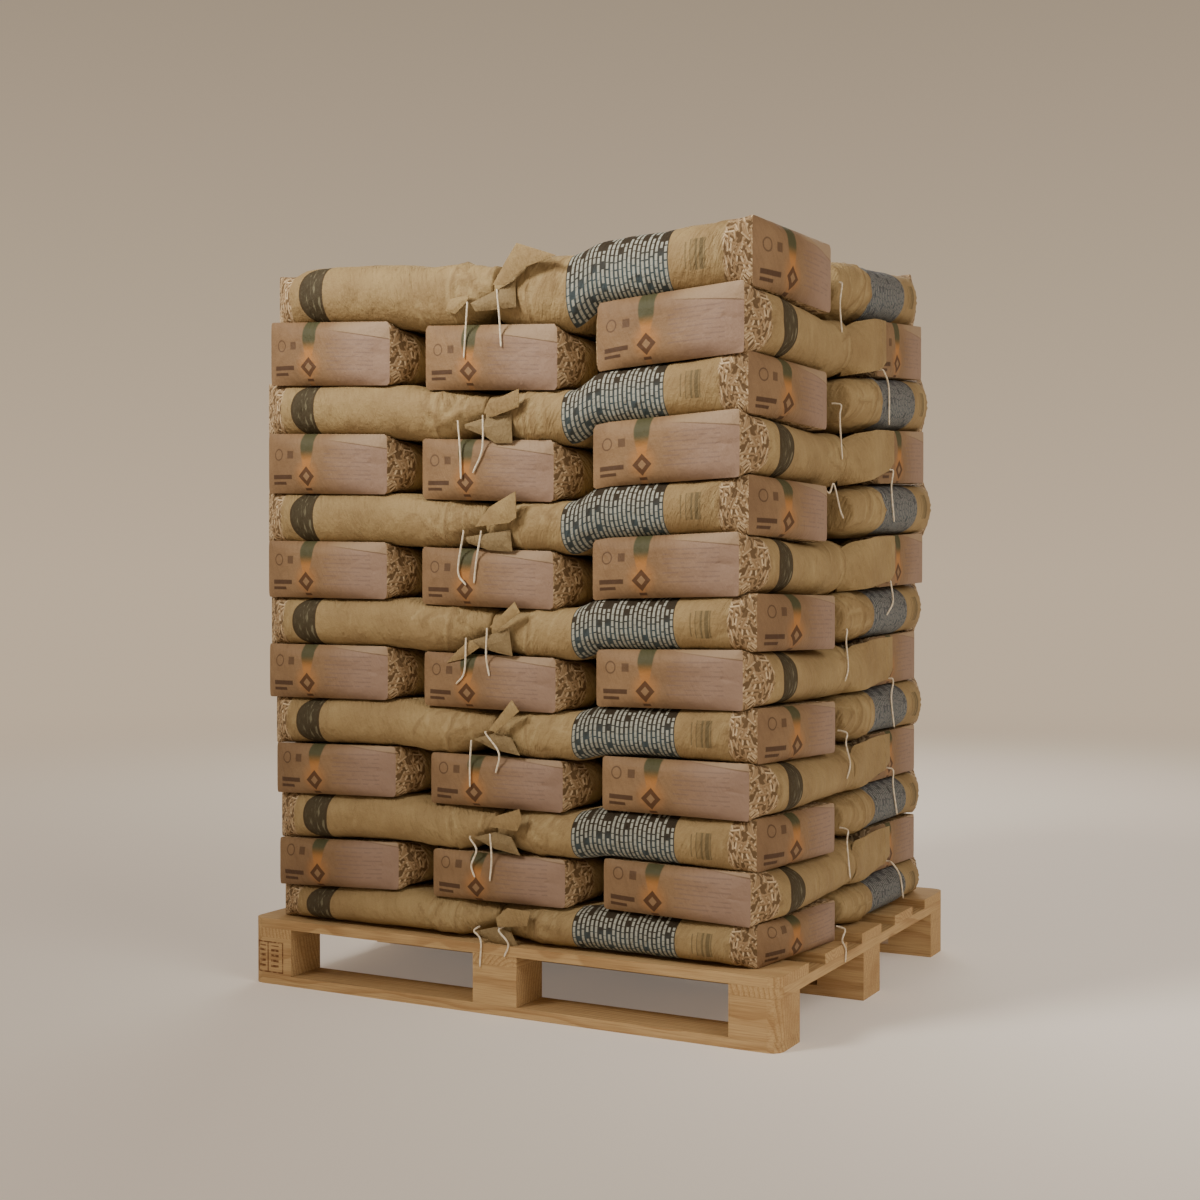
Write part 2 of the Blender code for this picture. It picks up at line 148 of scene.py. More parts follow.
# Loose thread ends
THREAD_RADIUS = 0.002
THREAD_SEAT = 0.0024
THREAD_RISE = 0.002
THREAD_DROP = 0.004
ROUTE_STEPS = 24
FRONT_TUCK_ON_DECK = 0.020
FRONT_THREADS = (
    (13, "a", ((-0.066, 0.019), (-0.070, -0.035), (-0.074, -0.089))),
    (13, "b", ((0.003, 0.039), (0.008, -0.015), (0.012, -0.072))),
    (11, "a", ((-0.088, 0.014), (-0.083, -0.045), (-0.081, -0.100))),
    (11, "b", ((-0.030, 0.022), (-0.032, -0.044), (-0.053, -0.089))),
    (9, "a", ((-0.076, 0.014), (-0.088, -0.063), (-0.070, -0.091))),
    (9, "b", ((-0.035, 0.014), (-0.045, -0.040), (-0.051, -0.087))),
    (7, "a", ((-0.070, 0.014), (-0.074, -0.052), (-0.093, -0.076))),
    (7, "b", ((-0.021, 0.034), (-0.023, -0.019), (-0.016, -0.058))),
    (5, "a", ((-0.058, 0.015), (-0.061, -0.030), (-0.061, -0.076))),
    (5, "b", ((-0.023, 0.034), (0.006, -0.006), (-0.001, -0.045))),
    (3, "a", ((-0.060, 0.020), (-0.046, -0.005), (-0.058, -0.036), (-0.050, -0.059))),
    (3, "b", ((-0.014, 0.027), (-0.011, -0.020), (-0.015, -0.064))),
    (1, "a", ((-0.045, 0.027), (-0.030, 0.006), (-0.032, -0.046))),
    (1, "b", ((0.012, 0.033), (0.033, 0.006), (0.024, -0.020))),
)
RIGHT_THREADS = (
    (13, 0.5634, 0.006, ((-0.085, 0.069), (-0.096, 0.024), (-0.085, -0.030))),
    (12, 0.5944, 0.016, ((0.085, 0.025), (0.115, -0.010), (0.118, -0.087))),
    (11, 0.5614, 0.020, ((-0.082, 0.054), (-0.090, 0.025), (-0.076, -0.057))),
    (10, 0.5984, 0.014, ((0.133, 0.042), (0.122, 0.004), (0.140, -0.067))),
    (9, 0.5604, 0.019, ((-0.144, 0.096), (-0.121, 0.110), (-0.086, 0.062), (-0.0658, 0.044))),
    (8, 0.5840, 0.002, ((0.163, 0.021), (0.177, -0.022), (0.137, -0.049))),
    (7, 0.5684, 0.002, ((-0.064, 0.029), (-0.070, 0.005), (-0.058, -0.046), (-0.075, -0.074))),
    (6, 0.5844, 0.018, ((0.178, 0.020), (0.166, -0.022), (0.186, -0.084))),
    (5, 0.5814, 0.020, ((-0.099, 0.029), (-0.105, 0.005), (-0.081, -0.037), (-0.100, -0.065))),
    (4, 0.5824, 0.018, ((0.186, 0.025), (0.186, -0.012), (0.213, -0.076))),
    (3, 0.5844, 0.018, ((-0.100, 0.029), (-0.106, 0.002), (-0.088, -0.071))),
    (2, 0.5824, 0.018, ((0.187, 0.015), (0.235, -0.023), (0.256, -0.074))),
    (1, 0.6024, 0.018, ((-0.166, 0.031), (-0.182, 0.010), (-0.162, -0.012), (-0.165, -0.036))),
)
THREAD_LOBES = 3
THREAD_LOBE_SHARE = 0.16
THREAD_TWIST = 0.011
THREAD_RING_POINTS = 15
THREAD_RINGS_APART = 0.0016

# Material slots on a sack
GUSSET_ONE, GUSSET_TWO, BROAD, BOTTOM, TOP, INNER = range(6)

# How one sack lies, as in the solids
Lie = namedtuple("Lie", "name place facing length bulge flare shift slant side shown closing")

# Folded paper at the meeting tops of the front pairs: layer, and the outline as sideways place
# and height over the underside of the layer
FRONT_EARS = (
    (13, ((-0.004, 0.049), (0.026, 0.091), (0.053, 0.125), (0.146, 0.092), (0.075, 0.077),
          (0.023, 0.046))),
    (11, ((-0.016, 0.046), (0.059, 0.070), (0.059, 0.035), (-0.004, 0.019), (-0.025, 0.027))),
    (9, ((-0.046, 0.024), (-0.010, 0.062), (0.052, 0.091), (0.054, 0.040), (0.036, 0.030))),
    (7, ((-0.012, 0.038), (0.048, 0.088), (0.061, 0.068), (0.007, 0.035))),
    (5, ((-0.014, 0.039), (0.041, 0.100), (0.059, 0.079), (0.002, 0.036))),
    (3, ((-0.014, 0.044), (0.002, 0.066), (0.059, 0.084), (0.065, 0.065), (0.054, 0.041))),
    (1, ((0.002, 0.053), (0.029, 0.075), (0.083, 0.074), (0.076, 0.045), (0.006, 0.036))),
)
TUCKED_PANELS = (
    (13, ((-0.062, 0.019), (-0.002, 0.040), (0.041, 0.056), (0.043, 0.004), (-0.016, 0.002),
          (-0.050, 0.002))),
    (11, ((-0.076, 0.008), (-0.025, 0.020), (0.032, 0.023), (0.034, -0.033), (-0.005, -0.032),
          (-0.025, -0.019), (-0.074, 0.000))),
    (9, ((-0.077, 0.004), (0.029, 0.017), (0.034, -0.026), (-0.021, -0.022), (-0.067, -0.008))),
    (7, ((-0.070, 0.008), (-0.027, 0.020), (0.026, 0.035), (0.034, -0.018), (0.002, -0.013),
         (-0.044, -0.002))),
    (5, ((-0.056, 0.019), (-0.005, 0.033), (0.031, 0.025), (0.051, -0.009), (-0.008, 0.000))),
)
LOW_EARS = (
    (13, ((-0.120, 0.008), (-0.112, 0.030), (-0.066, 0.036), (-0.070, 0.022), (-0.098, 0.000))),
    (7, ((-0.119, -0.035), (-0.093, -0.010), (-0.065, 0.010), (-0.025, 0.020), (-0.039, -0.001),
         (-0.079, -0.026))),
)


def colour(red, green, blue):
    """A linear colour from the 0 to 255 values that a screen shows."""
    linear = []
    for level in (red, green, blue):
        share = level / 255.0
        linear.append(share / 12.92 if share <= 0.04045 else ((share + 0.055) / 1.055) ** 2.4)
    return (*linear, 1.0)


def layer_bottom(layer):
    """Height of the underside of a layer, counted from 1 at the bottom."""
    below = layer - 1
    return DECK_TOP + below * LOWEST_LAYER_HEIGHT + LAYER_HEIGHT_STEP * below * (below - 1) / 2


def between_rows(rows, places):
    """The values at some places between rows of numbers, each row starting with its place."""
    table = np.array(rows)
    start = np.clip(np.searchsorted(table[:, 0], places) - 1, 0, len(table) - 2)
    near, far = table[start], table[start + 1]
    share = (places - near[:, 0]) / (far[:, 0] - near[:, 0])
    return near[:, 1:] + (far[:, 1:] - near[:, 1:]) * share[:, None]


def settled(points):
    """Where the points of the level stack lie once the stack has settled."""
    rises = 0.0
    for step in (-SETTLING_BLEND, 0.0, SETTLING_BLEND):
        rises = rises + between_rows(SETTLING_ACROSS, points[:, 0] + step) / 3
        rises = rises + between_rows(SETTLING_BACKWARD, points[:, 1] + step) / 3
    heights = (DECK_TOP, layer_bottom(2), layer_bottom(LAYERS), layer_bottom(LAYERS + 1))
    rises = np.concatenate([np.zeros((len(points), 1)), rises], axis=1)
    start = np.clip(np.searchsorted(heights, points[:, 2]) - 1, 0, len(heights) - 2)
    near, far = np.array(heights)[start], np.array(heights)[start + 1]
    share = (points[:, 2] - near) / (far - near)
    pick = np.arange(len(points))
    rise = rises[pick, start] + (rises[pick, start + 1] - rises[pick, start]) * share
    return points + np.stack([0 * rise, 0 * rise, rise], axis=1)


# Camera, light and floor

KEY_POWER = 970.0
KEY_RADIUS = 0.7
KEY_CONE = math.radians(58.0)
KEY_TINT = (1.0, 0.96, 0.88)
KEY_PLACE = (-1.6, -3.0, 3.5)
KEY_TARGET = (0.0, -0.5, 2.1)
LOAD_MIDDLE = (0.0, 0.0, 0.8)
# Each soft lamp's name, place, size, power and tint
SOFT_LAMPS = (
    ("fill", (3.8, -1.4, 3.0), 2.6, 74.0, (1.0, 0.96, 0.91)),
    ("back", (-1.5, 4.4, 3.0), 3.0, 90.0, (1.0, 0.98, 0.95)),
)
SURROUND = colour(246, 221, 190)
SURROUND_LIGHT = 0.71
SURROUND_LIGHT_ABOVE = 0.39
SURROUND_RISE = 0.38
FLOOR_COLOUR = colour(240, 233, 224)
FLOOR_GLOW = 0.15
FLOOR_ROUGHNESS = 0.9
FLOOR_SHINE = 0.1
FLOOR_FADE_START = 0.8
FLOOR_FADE_END = 8.0
FLOOR_REACH = 80.0


def add_object(name, data):
    """A new object that is part of the scene."""
    obj = bpy.data.objects.new(name, data)
    bpy.context.scene.collection.objects.link(obj)
    return obj


def add_camera():
    """The photograph's camera."""
    data = bpy.data.cameras.new("camera")
    data.sensor_width = SENSOR_WIDTH
    data.lens = FOCAL_LENGTH
    camera = add_object("camera", data)
    camera.location = CAMERA_PLACE
    camera.rotation_euler = (CAMERA_TILT, 0.0, CAMERA_TURN)
    bpy.context.scene.camera = camera


def add_lamp(name, kind, place, target, power, tint, **settings):
    """A lamp that points from its place to a target."""
    data = bpy.data.lights.new(name, kind)
    data.energy = power
    data.color = tint
    for setting, value in settings.items():
        setattr(data, setting, value)
    lamp = add_object(name, data)
    lamp.location = place
    lamp.rotation_euler = (Vector(target) - Vector(place)).to_track_quat("-Z", "Y").to_euler()


def add_lamps():
    """A wide key lamp that fades out towards the foot of the load, and two soft lamps."""
    add_lamp("key", "SPOT", KEY_PLACE, KEY_TARGET, KEY_POWER, KEY_TINT,
             shadow_soft_size=KEY_RADIUS, spot_size=KEY_CONE, spot_blend=1.0)
    for name, place, size, power, tint in SOFT_LAMPS:
        add_lamp(name, "AREA", place, LOAD_MIDDLE, power, tint, shape="SQUARE", size=size)


def add_surround():
    """A pale surround, lighter at the horizon than above it."""
    world = bpy.data.worlds.new("studio")
    world.use_nodes = True
    nodes = world.node_tree.nodes
    links = world.node_tree.links
    direction = nodes.new("ShaderNodeTexCoord")
    height = nodes.new("ShaderNodeSeparateXYZ")
    strength = nodes.new("ShaderNodeMapRange")
    for name, value in (("From Min", 0.0), ("From Max", SURROUND_RISE),
                        ("To Min", SURROUND_LIGHT), ("To Max", SURROUND_LIGHT_ABOVE)):
        strength.inputs[name].default_value = value
    links.new(direction.outputs["Generated"], height.inputs[0])
    links.new(height.outputs["Z"], strength.inputs["Value"])
    nodes["Background"].inputs["Color"].default_value = SURROUND
    links.new(strength.outputs["Result"], nodes["Background"].inputs["Strength"])
    bpy.context.scene.world = world


def add_floor():
    """A pale floor that turns into the surround with its distance."""
    paint = Paint("floor")
    x, y, _ = paint.split(paint.object_place())
    far = paint.hypotenuse(x, y).ramp(FLOOR_FADE_START, FLOOR_FADE_END)
    for name, value in (("Base Color", FLOOR_COLOUR), ("Emission Color", FLOOR_COLOUR),
                        ("Emission Strength", FLOOR_GLOW), ("Roughness", FLOOR_ROUGHNESS),
                        ("Specular IOR Level", FLOOR_SHINE)):
        paint.shader.inputs[name].default_value = value
    glow = paint.node("ShaderNodeEmission")
    glow.inputs["Color"].default_value = SURROUND
    glow.inputs["Strength"].default_value = SURROUND_LIGHT
    blend = paint.node("ShaderNodeMixShader")
    for socket, value in zip(blend.inputs, (far, paint.shader.outputs[0], glow.outputs[0])):
        paint.feed(socket, value)
    paint.feed(paint.tree.nodes["Material Output"].inputs["Surface"], blend.outputs[0])
    corners = [(side * FLOOR_REACH, depth * FLOOR_REACH, 0.0)
               for side, depth in ((-1, -1), (1, -1), (1, 1), (-1, 1))]
    mesh = bpy.data.meshes.new("floor")
    mesh.from_pydata(corners, [], [(0, 1, 2, 3)])
    mesh.materials.append(paint.material)
    floor = add_object("floor", mesh)


# Node materials

EDGE_SOFTNESS = 0.0006


class Value:
    """A node's output, used in sums and products like a number."""

    def __init__(self, paint, socket):
        self.paint = paint
        self.socket = socket

    def __add__(self, other):
        return self.paint.math("ADD", self, other)

    def __radd__(self, other):
        return self.paint.math("ADD", other, self)

    def __sub__(self, other):
        return self.paint.math("SUBTRACT", self, other)

    def __rsub__(self, other):
        return self.paint.math("SUBTRACT", other, self)

    def __mul__(self, other):
        return self.paint.math("MULTIPLY", self, other)

    def __abs__(self):
        return self.paint.math("ABSOLUTE", self)

    def floor(self):
        return self.paint.math("FLOOR", self)

    def fraction(self):
        return self.paint.math("FRACT", self)

    def ramp(self, low, high, from_value=0.0, to_value=1.0):
        """Rises smoothly from one value to another as this one goes from low to high."""
        made = self.paint.node("ShaderNodeMapRange", interpolation_type="SMOOTHSTEP")
        for name, number in (("Value", self), ("From Min", low), ("From Max", high),
                             ("To Min", from_value), ("To Max", to_value)):
            self.paint.feed(made.inputs[name], number)
        return Value(self.paint, made.outputs["Result"])

    def between(self, low, high, soft=EDGE_SOFTNESS):
        """1 between low and high, and 0 outside."""
        return (self - low).ramp(-soft, soft) * (high - self).ramp(-soft, soft)


class Paint:
    """One node material, built by short calls that take numbers, colours and values."""

    def __init__(self, name):
        self.material = bpy.data.materials.new(name)
        self.material.use_nodes = True
        self.tree = self.material.node_tree
        self.shader = self.tree.nodes["Principled BSDF"]

    def node(self, kind, **settings):
        made = self.tree.nodes.new(kind)
        for name, value in settings.items():
            setattr(made, name, value)
        return made

    def feed(self, socket, value):
        if isinstance(value, Value):
            value = value.socket
        if isinstance(value, bpy.types.NodeSocket):
            self.tree.links.new(value, socket)
        else:
            socket.default_value = value

    def math(self, operation, *values):
        made = self.node("ShaderNodeMath", operation=operation)
        for socket, value in zip(made.inputs, values):
            self.feed(socket, value)
        return Value(self, made.outputs[0])

    def hypotenuse(self, a, b):
        return self.math("SQRT", a * a + b * b)

    def either(self, *masks):
        """The largest of several masks."""
        top = masks[0]
        for mask in masks[1:]:
            top = self.math("MAXIMUM", top, mask)
        return top

    def box(self, x, y, left, right, low, high, soft=EDGE_SOFTNESS):
        return x.between(left, right, soft) * y.between(low, high, soft)

    def disc(self, x, y, middle, radius, soft=EDGE_SOFTNESS):
        return (radius - self.hypotenuse(x - middle[0], y - middle[1])).ramp(-soft, soft)

    def mix(self, share, first, second, blend="MIX"):
        made = self.node("ShaderNodeMix", data_type="RGBA", blend_type=blend)
        self.feed(made.inputs[0], share)
        self.feed(made.inputs[6], first)
        self.feed(made.inputs[7], second)
        return Value(self, made.outputs[2])

    def join(self, x, y, z=0.0):
        made = self.node("ShaderNodeCombineXYZ")
        for socket, value in zip(made.inputs, (x, y, z)):
            self.feed(socket, value)
        return Value(self, made.outputs[0])

    def split(self, vector):
        made = self.node("ShaderNodeSeparateXYZ")
        self.feed(made.inputs[0], vector)
        return [Value(self, socket) for socket in made.outputs]

    def object_place(self):
        return Value(self, self.node("ShaderNodeTexCoord").outputs["Object"])

    def print_place(self):
        """Distance along the sack and place across the printed face, in metres."""
        return self.split(self.node("ShaderNodeUVMap", uv_map="print").outputs[0])[:2]

    def attribute(self, name):
        made = self.node("ShaderNodeAttribute", attribute_name=name)
        return Value(self, made.outputs["Fac"])

    def noise(self, place, scale, detail=2.0, roughness=0.5):
        made = self.node("ShaderNodeTexNoise")
        for name, value in (("Vector", place), ("Scale", scale), ("Detail", detail),
                            ("Roughness", roughness)):
            self.feed(made.inputs[name], value)
        return Value(self, made.outputs[0])

    def chance(self, value, seed):
        """A number from 0 to 1 that differs from whole value to whole value."""
        made = self.node("ShaderNodeTexWhiteNoise", noise_dimensions="2D")
        self.feed(made.inputs["Vector"], self.join(value, seed))
        return Value(self, made.outputs["Value"])

    def finish(self, base, height, roughness=0.75, shine=0.25):
        """Join the colour and the relief, in metres, to the shader."""
        bump = self.node("ShaderNodeBump")
        for socket, value in ((self.shader.inputs["Base Color"], base),
                              (self.shader.inputs["Roughness"], roughness),
                              (self.shader.inputs["Specular IOR Level"], shine),
                              (bump.inputs["Strength"], 1.0),
                              (bump.inputs["Distance"], 1.0),
                              (bump.inputs["Height"], height),
                              (self.shader.inputs["Normal"], bump.outputs[0])):
            self.feed(socket, value)
        return self.material


# Paper and its printing

KRAFT_LIGHT = colour(165, 143, 102)
KRAFT_DARK = colour(146, 123, 86)
KRAFT_WORN = colour(180, 160, 118)
# Kraft painted darker for the tucked panels under the ears: painted shade of their recess
SHADED_PANEL_PAPER = colour(136, 117, 84)
# Darker kraft for the hollows of creases: painted shade
PAINTED_CREASE_SHADE = colour(118, 94, 62)
PINK_LIGHT = colour(143, 115, 84)
PINK_DARK = colour(128, 101, 73)
PINK_GREY = colour(154, 130, 117)
PELLET_GROUND = colour(106, 84, 58)
PELLET_DARK = colour(142, 115, 82)
PELLET_LIGHT = colour(214, 191, 156)
INK_DARK = colour(52, 42, 28)
INK_BROWN = colour(62, 38, 24)
INK_OLIVE = colour(54, 48, 34)
INK_STREAK = colour(108, 104, 84)
INK_GREEN = colour(44, 58, 30)
INK_ORANGE = colour(186, 124, 60)
INK_GREY = colour(112, 92, 86)
LABEL_WHITE = colour(164, 166, 156)
LABEL_BLUE = colour(64, 76, 80)
LABEL_SIDE = colour(104, 103, 108)
LABEL_BROWN = colour(50, 41, 28)
BAR_OLIVE = colour(96, 84, 58)

CREPE_RELIEF = 0.0062
CRUMPLE_RELIEF = 0.0068
FIBRE_RELIEF = 0.00022
PASTED_END_CRUMPLING = 0.35

# The printed rods, measured in rod cells, and the stretch of the sack that they cover
ROD_LAYERS = 7
RODS_PER_METRE = 44.0
ROD_HALF_LENGTH = 0.47
ROD_HALF_WIDTH = 0.110
ROD_END_SOFTNESS = 0.06
ROD_SIDE_SOFTNESS = 0.04
ROD_LAYER_SHIFT = 3.7
ROD_SHIFT_ACROSS = 1.7
ROD_SCATTER = 0.9
ROD_TURN_RANGE = 5.0
PELLETS_END = 0.055
PELLETS_SOFTNESS = 0.003

# The dark band on one side
BAND_START = 0.083
BAND_END = 0.145
BAND_CURVE = 7.0
BAND_SOFTNESS = 0.001
BAND_RIM = (0.007, 0.005)

# The block of dashes on the other side
LABEL_START = 0.172
LABEL_END = 0.390
LABEL_REACH = 0.078
LABEL_COLUMNS = 23
COLUMNS_PER_GROUP = 4.6
DASH_LENGTH = 0.0125
LABEL_HEAD = 0.046
SIDE_FACES_FROM = 0.52

# The bars beside that block: (start, end, low, high)
BAR_FIELD = (0.096, 0.128, -0.026, 0.026)
BAR_WIDTH = 0.0016
THIN_BAR = (0.136, 0.1385, -0.022, 0.022)

# The pasted end's shapes: their middles, or (left, right, low, high)
EMBLEM_X = 0.113
GLOW_MIDDLE = (EMBLEM_X, 0.040)
DIAMOND_HEIGHT = 0.034
END_BARS = (
    (0.018, 0.074, 0.028, 0.037),
    (0.018, 0.056, 0.017, 0.023),
    (0.105, 0.121, 0.006, 0.011),
)
RING_MIDDLE = (0.036, 0.078)
RING_OUTSIDE = 0.0125
RING_INSIDE = 0.0095
SQUARE = (0.062, 0.078, 0.070, 0.086)
TEXT_FIELD = (0.158, 0.270, 0.024, 0.092)
TEXT_LINE = 0.0085


def paper_base(paint, light, dark, crumpling=1.0):
    """Plain paper: its colour with patches, fibres, worn fold ridges and painted shade in the
    hollows of creases, and its fine relief.
    """
    place = paint.object_place()
    along, across = paint.print_place()
    base = paint.mix(paint.noise(place, 7.0, 4.0, 0.6).ramp(0.30, 0.70), light, dark)
    crepe = paint.noise(paint.join((along + across * 0.45) * 150.0, across * 32.0,
                                   paint.split(place)[2] * 6.0), 1.0, 3.0, 0.6)
    base = paint.mix(crepe.ramp(0.40, 0.80, 0.0, 0.16), base, dark, "MULTIPLY")
    fibre = paint.noise(place, 420.0, 2.0, 0.6)
    base = paint.mix(fibre.ramp(0.3, 0.7, 0.0, 0.14), base, light, "MULTIPLY")
    fold = paint.attribute("fold")
    # Lighter where fold ridges are worn; darker in the hollows of creases, which is painted shade
    base = paint.mix(fold.ramp(0.30, 1.0, 0.0, 0.34), base, KRAFT_WORN)
    base = paint.mix(fold.ramp(-1.0, -0.30, 0.42, 0.0), base, PAINTED_CREASE_SHADE)
    crumple = paint.noise(place, 30.0, 4.0, 0.62)
    patchy = paint.noise(place, 9.0, 2.0).ramp(0.40, 0.65, 0.35, 1.0)
    height = (crepe * patchy * (CREPE_RELIEF * crumpling)
              + crumple * (CRUMPLE_RELIEF * crumpling)
              + fibre * FIBRE_RELIEF)
    return base, height


def pellets(paint, along, across):
    """Short wood rods lying every way, as printed round the sack's bottom end."""
    base = PELLET_GROUND
    for turn in range(ROD_LAYERS):
        shift = ROD_LAYER_SHIFT * turn
        x = along * RODS_PER_METRE + shift
        y = across * RODS_PER_METRE + shift * ROD_SHIFT_ACROSS
        cells = paint.node("ShaderNodeTexVoronoi", voronoi_dimensions="2D", feature="F1")
        paint.feed(cells.inputs["Vector"], paint.join(x, y))
        cells.inputs["Scale"].default_value = 1.0
        cells.inputs["Randomness"].default_value = ROD_SCATTER
        centre = paint.split(cells.outputs["Position"])
        chance = paint.split(cells.outputs["Color"])
        left = x - centre[0]
        up = y - centre[1]
        angle = (chance[0] - 0.5) * ROD_TURN_RANGE
        cosine = paint.math("COSINE", angle)
        sine = paint.math("SINE", angle)
        lengthwise = abs(left * cosine + up * sine)
        sideways = up * cosine - left * sine
        rod = (lengthwise.ramp(ROD_HALF_LENGTH, ROD_HALF_LENGTH - ROD_END_SOFTNESS)
               * abs(sideways).ramp(ROD_HALF_WIDTH, ROD_HALF_WIDTH - ROD_SIDE_SOFTNESS))
        shade = (sideways.ramp(-ROD_HALF_WIDTH, ROD_HALF_WIDTH * 0.6, 0.10, 1.0)
                 * chance[1].ramp(0.1, 1.0, 0.15, 1.0))
        base = paint.mix(rod, base, paint.mix(shade, PELLET_DARK, PELLET_LIGHT))
    return base


def long_face(name):
    """The paint of a face along the sack, with the rods next to the bottom end."""
    paint = Paint(name)
    along, across = paint.print_place()
    base, height = paper_base(paint, KRAFT_LIGHT, KRAFT_DARK)
    ragged = (paint.noise(paint.object_place(), 55.0, 3.0) - 0.5) * 0.016
    covered = (along + ragged).ramp(PELLETS_END + PELLETS_SOFTNESS, PELLETS_END - PELLETS_SOFTNESS)
    return paint, along, across, paint.mix(covered, base, pellets(paint, along, across)), height


def gusset_one_paint():
    """The side with the dark band."""
    paint, along, across, base, height = long_face("sack_side_with_dark_band")
    inside = along - (across * across * BAND_CURVE + BAND_START)
    band = (inside.ramp(-BAND_SOFTNESS, BAND_SOFTNESS)
            * along.ramp(BAND_END + BAND_SOFTNESS, BAND_END - BAND_SOFTNESS))
    streak = paint.noise(paint.join(along * 150.0, across * 26.0), 1.0, 2.0, 0.7)
    ink = paint.mix(streak.ramp(0.54, 0.66), INK_OLIVE, INK_STREAK)
    rim = band * paint.either(inside.ramp(*BAND_RIM),
                              along.ramp(*(BAND_END - width for width in BAND_RIM)))
    ink = paint.mix(rim, ink, INK_DARK)
    return paint.finish(paint.mix(band * 0.92, base, ink), height)


def dash_block(paint, along, across):
    """Columns of light dashes of uneven length, with dark heads over groups of columns."""
    pitch = (LABEL_END - LABEL_START) / LABEL_COLUMNS
    place = (along - LABEL_START) * (1.0 / pitch)
    column = place.floor()
    stripe = place.fraction().between(0.24, 0.78, 0.06)
    run = across * (1.0 / DASH_LENGTH) + paint.chance(column, 1.0) * 9.0
    dash = run.floor()
    gap = paint.chance(column + dash * 37.0, 2.0).ramp(0.0, 1.0, 0.06, 0.22)
    dashes = (run.fraction() - gap).ramp(-0.03, 0.03)
    missing = paint.chance(column + dash * 53.0, 3.0).ramp(0.93, 0.931)
    group = (column + 0.5) * (1.0 / COLUMNS_PER_GROUP)
    depth = paint.chance(group.floor(), 4.0).ramp(0.0, 1.0, 0.004, 0.016)
    head = ((across - (LABEL_HEAD - depth)).ramp(-EDGE_SOFTNESS, EDGE_SOFTNESS)
            * group.fraction().between(0.02, 0.40, 0.02))
    light = stripe * dashes * (1.0 - missing) * (1.0 - head)
    ground = paint.mix(across.ramp(0.030, -0.020), LABEL_BROWN, LABEL_BLUE)
    stains = paint.noise(paint.object_place(), 60.0, 3.0).ramp(0.45, 0.7, 0.0, 0.5)
    ground = paint.mix(stains, ground, LABEL_BROWN)
    return paint.mix(light * 0.90, ground, LABEL_WHITE)


def gusset_two_paint():
    """The side with the block of light dashes and the bar field."""
    paint, along, across, base, height = long_face("sack_side_with_dash_block")
    printed = dash_block(paint, along, across)
    faded = abs(paint.split(paint.object_place())[0]).ramp(SIDE_FACES_FROM, SIDE_FACES_FROM + 0.01)
    streaks = paint.noise(paint.join((along + across) * 70.0, (along - across) * 260.0), 1.0, 2.0)
    side = paint.mix(streaks.ramp(0.45, 0.62), LABEL_SIDE, LABEL_BLUE)
    printed = paint.mix(faded * 0.62, printed, side)
    block = paint.box(along, across, LABEL_START, LABEL_END, -LABEL_REACH, LABEL_REACH, 0.001)
    base = paint.mix(block, base, printed)
    dark_line = paint.chance((along * (1.0 / BAR_WIDTH)).floor(), 5.0).ramp(0.36, 0.40)
    bars = paint.box(along, across, *BAR_FIELD) * dark_line.ramp(0.0, 1.0, 0.28, 0.85)
    base = paint.mix(bars, base, BAR_OLIVE)
    base = paint.mix(paint.box(along, across, *THIN_BAR) * 0.7, base, BAR_OLIVE)
    return paint.finish(base, height)


def broad_paint():
    """The wide faces: plain paper, the rods at the end and a fading band with plain bars."""
    paint, along, across, base, height = long_face("sack_wide_face")
    band = across.between(-0.020, 0.044, 0.0010) * along.between(0.02, 0.20, 0.02)
    fade = paint.mix(along.ramp(0.070, 0.160), INK_GREEN, INK_ORANGE)
    base = paint.mix(band * 0.75, base, fade)
    bars = (paint.box(along, across, 0.24, 0.40, -0.10, 0.10, 0.0008)
            * (along * (1.0 / 0.020)).fraction().between(0.2, 0.55, 0.03))
    return paint.finish(paint.mix(bars * 0.6, base, INK_BROWN), height)


def emblem(paint, x, y, base):
    """A flame-coloured stripe that widens upwards, and a diamond at its foot."""
    base = paint.mix(paint.disc(x, y, GLOW_MIDDLE, 0.020, 0.020) * 0.55, base, INK_ORANGE)
    stripe = (y.ramp(0.030, 0.100, 0.006, 0.017) - abs(x - EMBLEM_X)).ramp(-0.002, 0.002)
    fade = paint.mix(y.ramp(0.090, 0.058), INK_GREEN, INK_ORANGE)
    base = paint.mix(stripe * y.ramp(0.045, 0.075, 0.20, 0.80), base, fade)
    diamond = abs(x - EMBLEM_X) + abs(y - DIAMOND_HEIGHT)
    base = paint.mix(diamond.ramp(0.0215, 0.0195, 0.0, 0.85), base, INK_BROWN)
    return paint.mix(diamond.ramp(0.0095, 0.0085, 0.0, 0.85), base, PINK_LIGHT)


def end_marks(paint, x, y, base):
    """Plain bars, a ring, a square and a field of faint broken lines."""
    bars = paint.either(*(paint.box(x, y, *bar, 0.001) for bar in END_BARS))
    base = paint.mix(bars * 0.84, base, INK_BROWN)
    ring = (paint.disc(x, y, RING_MIDDLE, RING_OUTSIDE)
            * (1.0 - paint.disc(x, y, RING_MIDDLE, RING_INSIDE)))
    base = paint.mix(paint.either(ring, paint.box(x, y, *SQUARE)) * 0.62, base, INK_BROWN)
    lines = ((y * (1.0 / TEXT_LINE)).fraction().between(0.30, 0.62, 0.08)
             * x.between(*TEXT_FIELD[:2], 0.001) * y.between(*TEXT_FIELD[2:], 0.001))
    broken = paint.noise(paint.join(x * 55.0, y * 118.0), 1.0, 1.0).ramp(0.38, 0.50)
    return paint.mix(lines * broken * 0.42, base, INK_GREY)


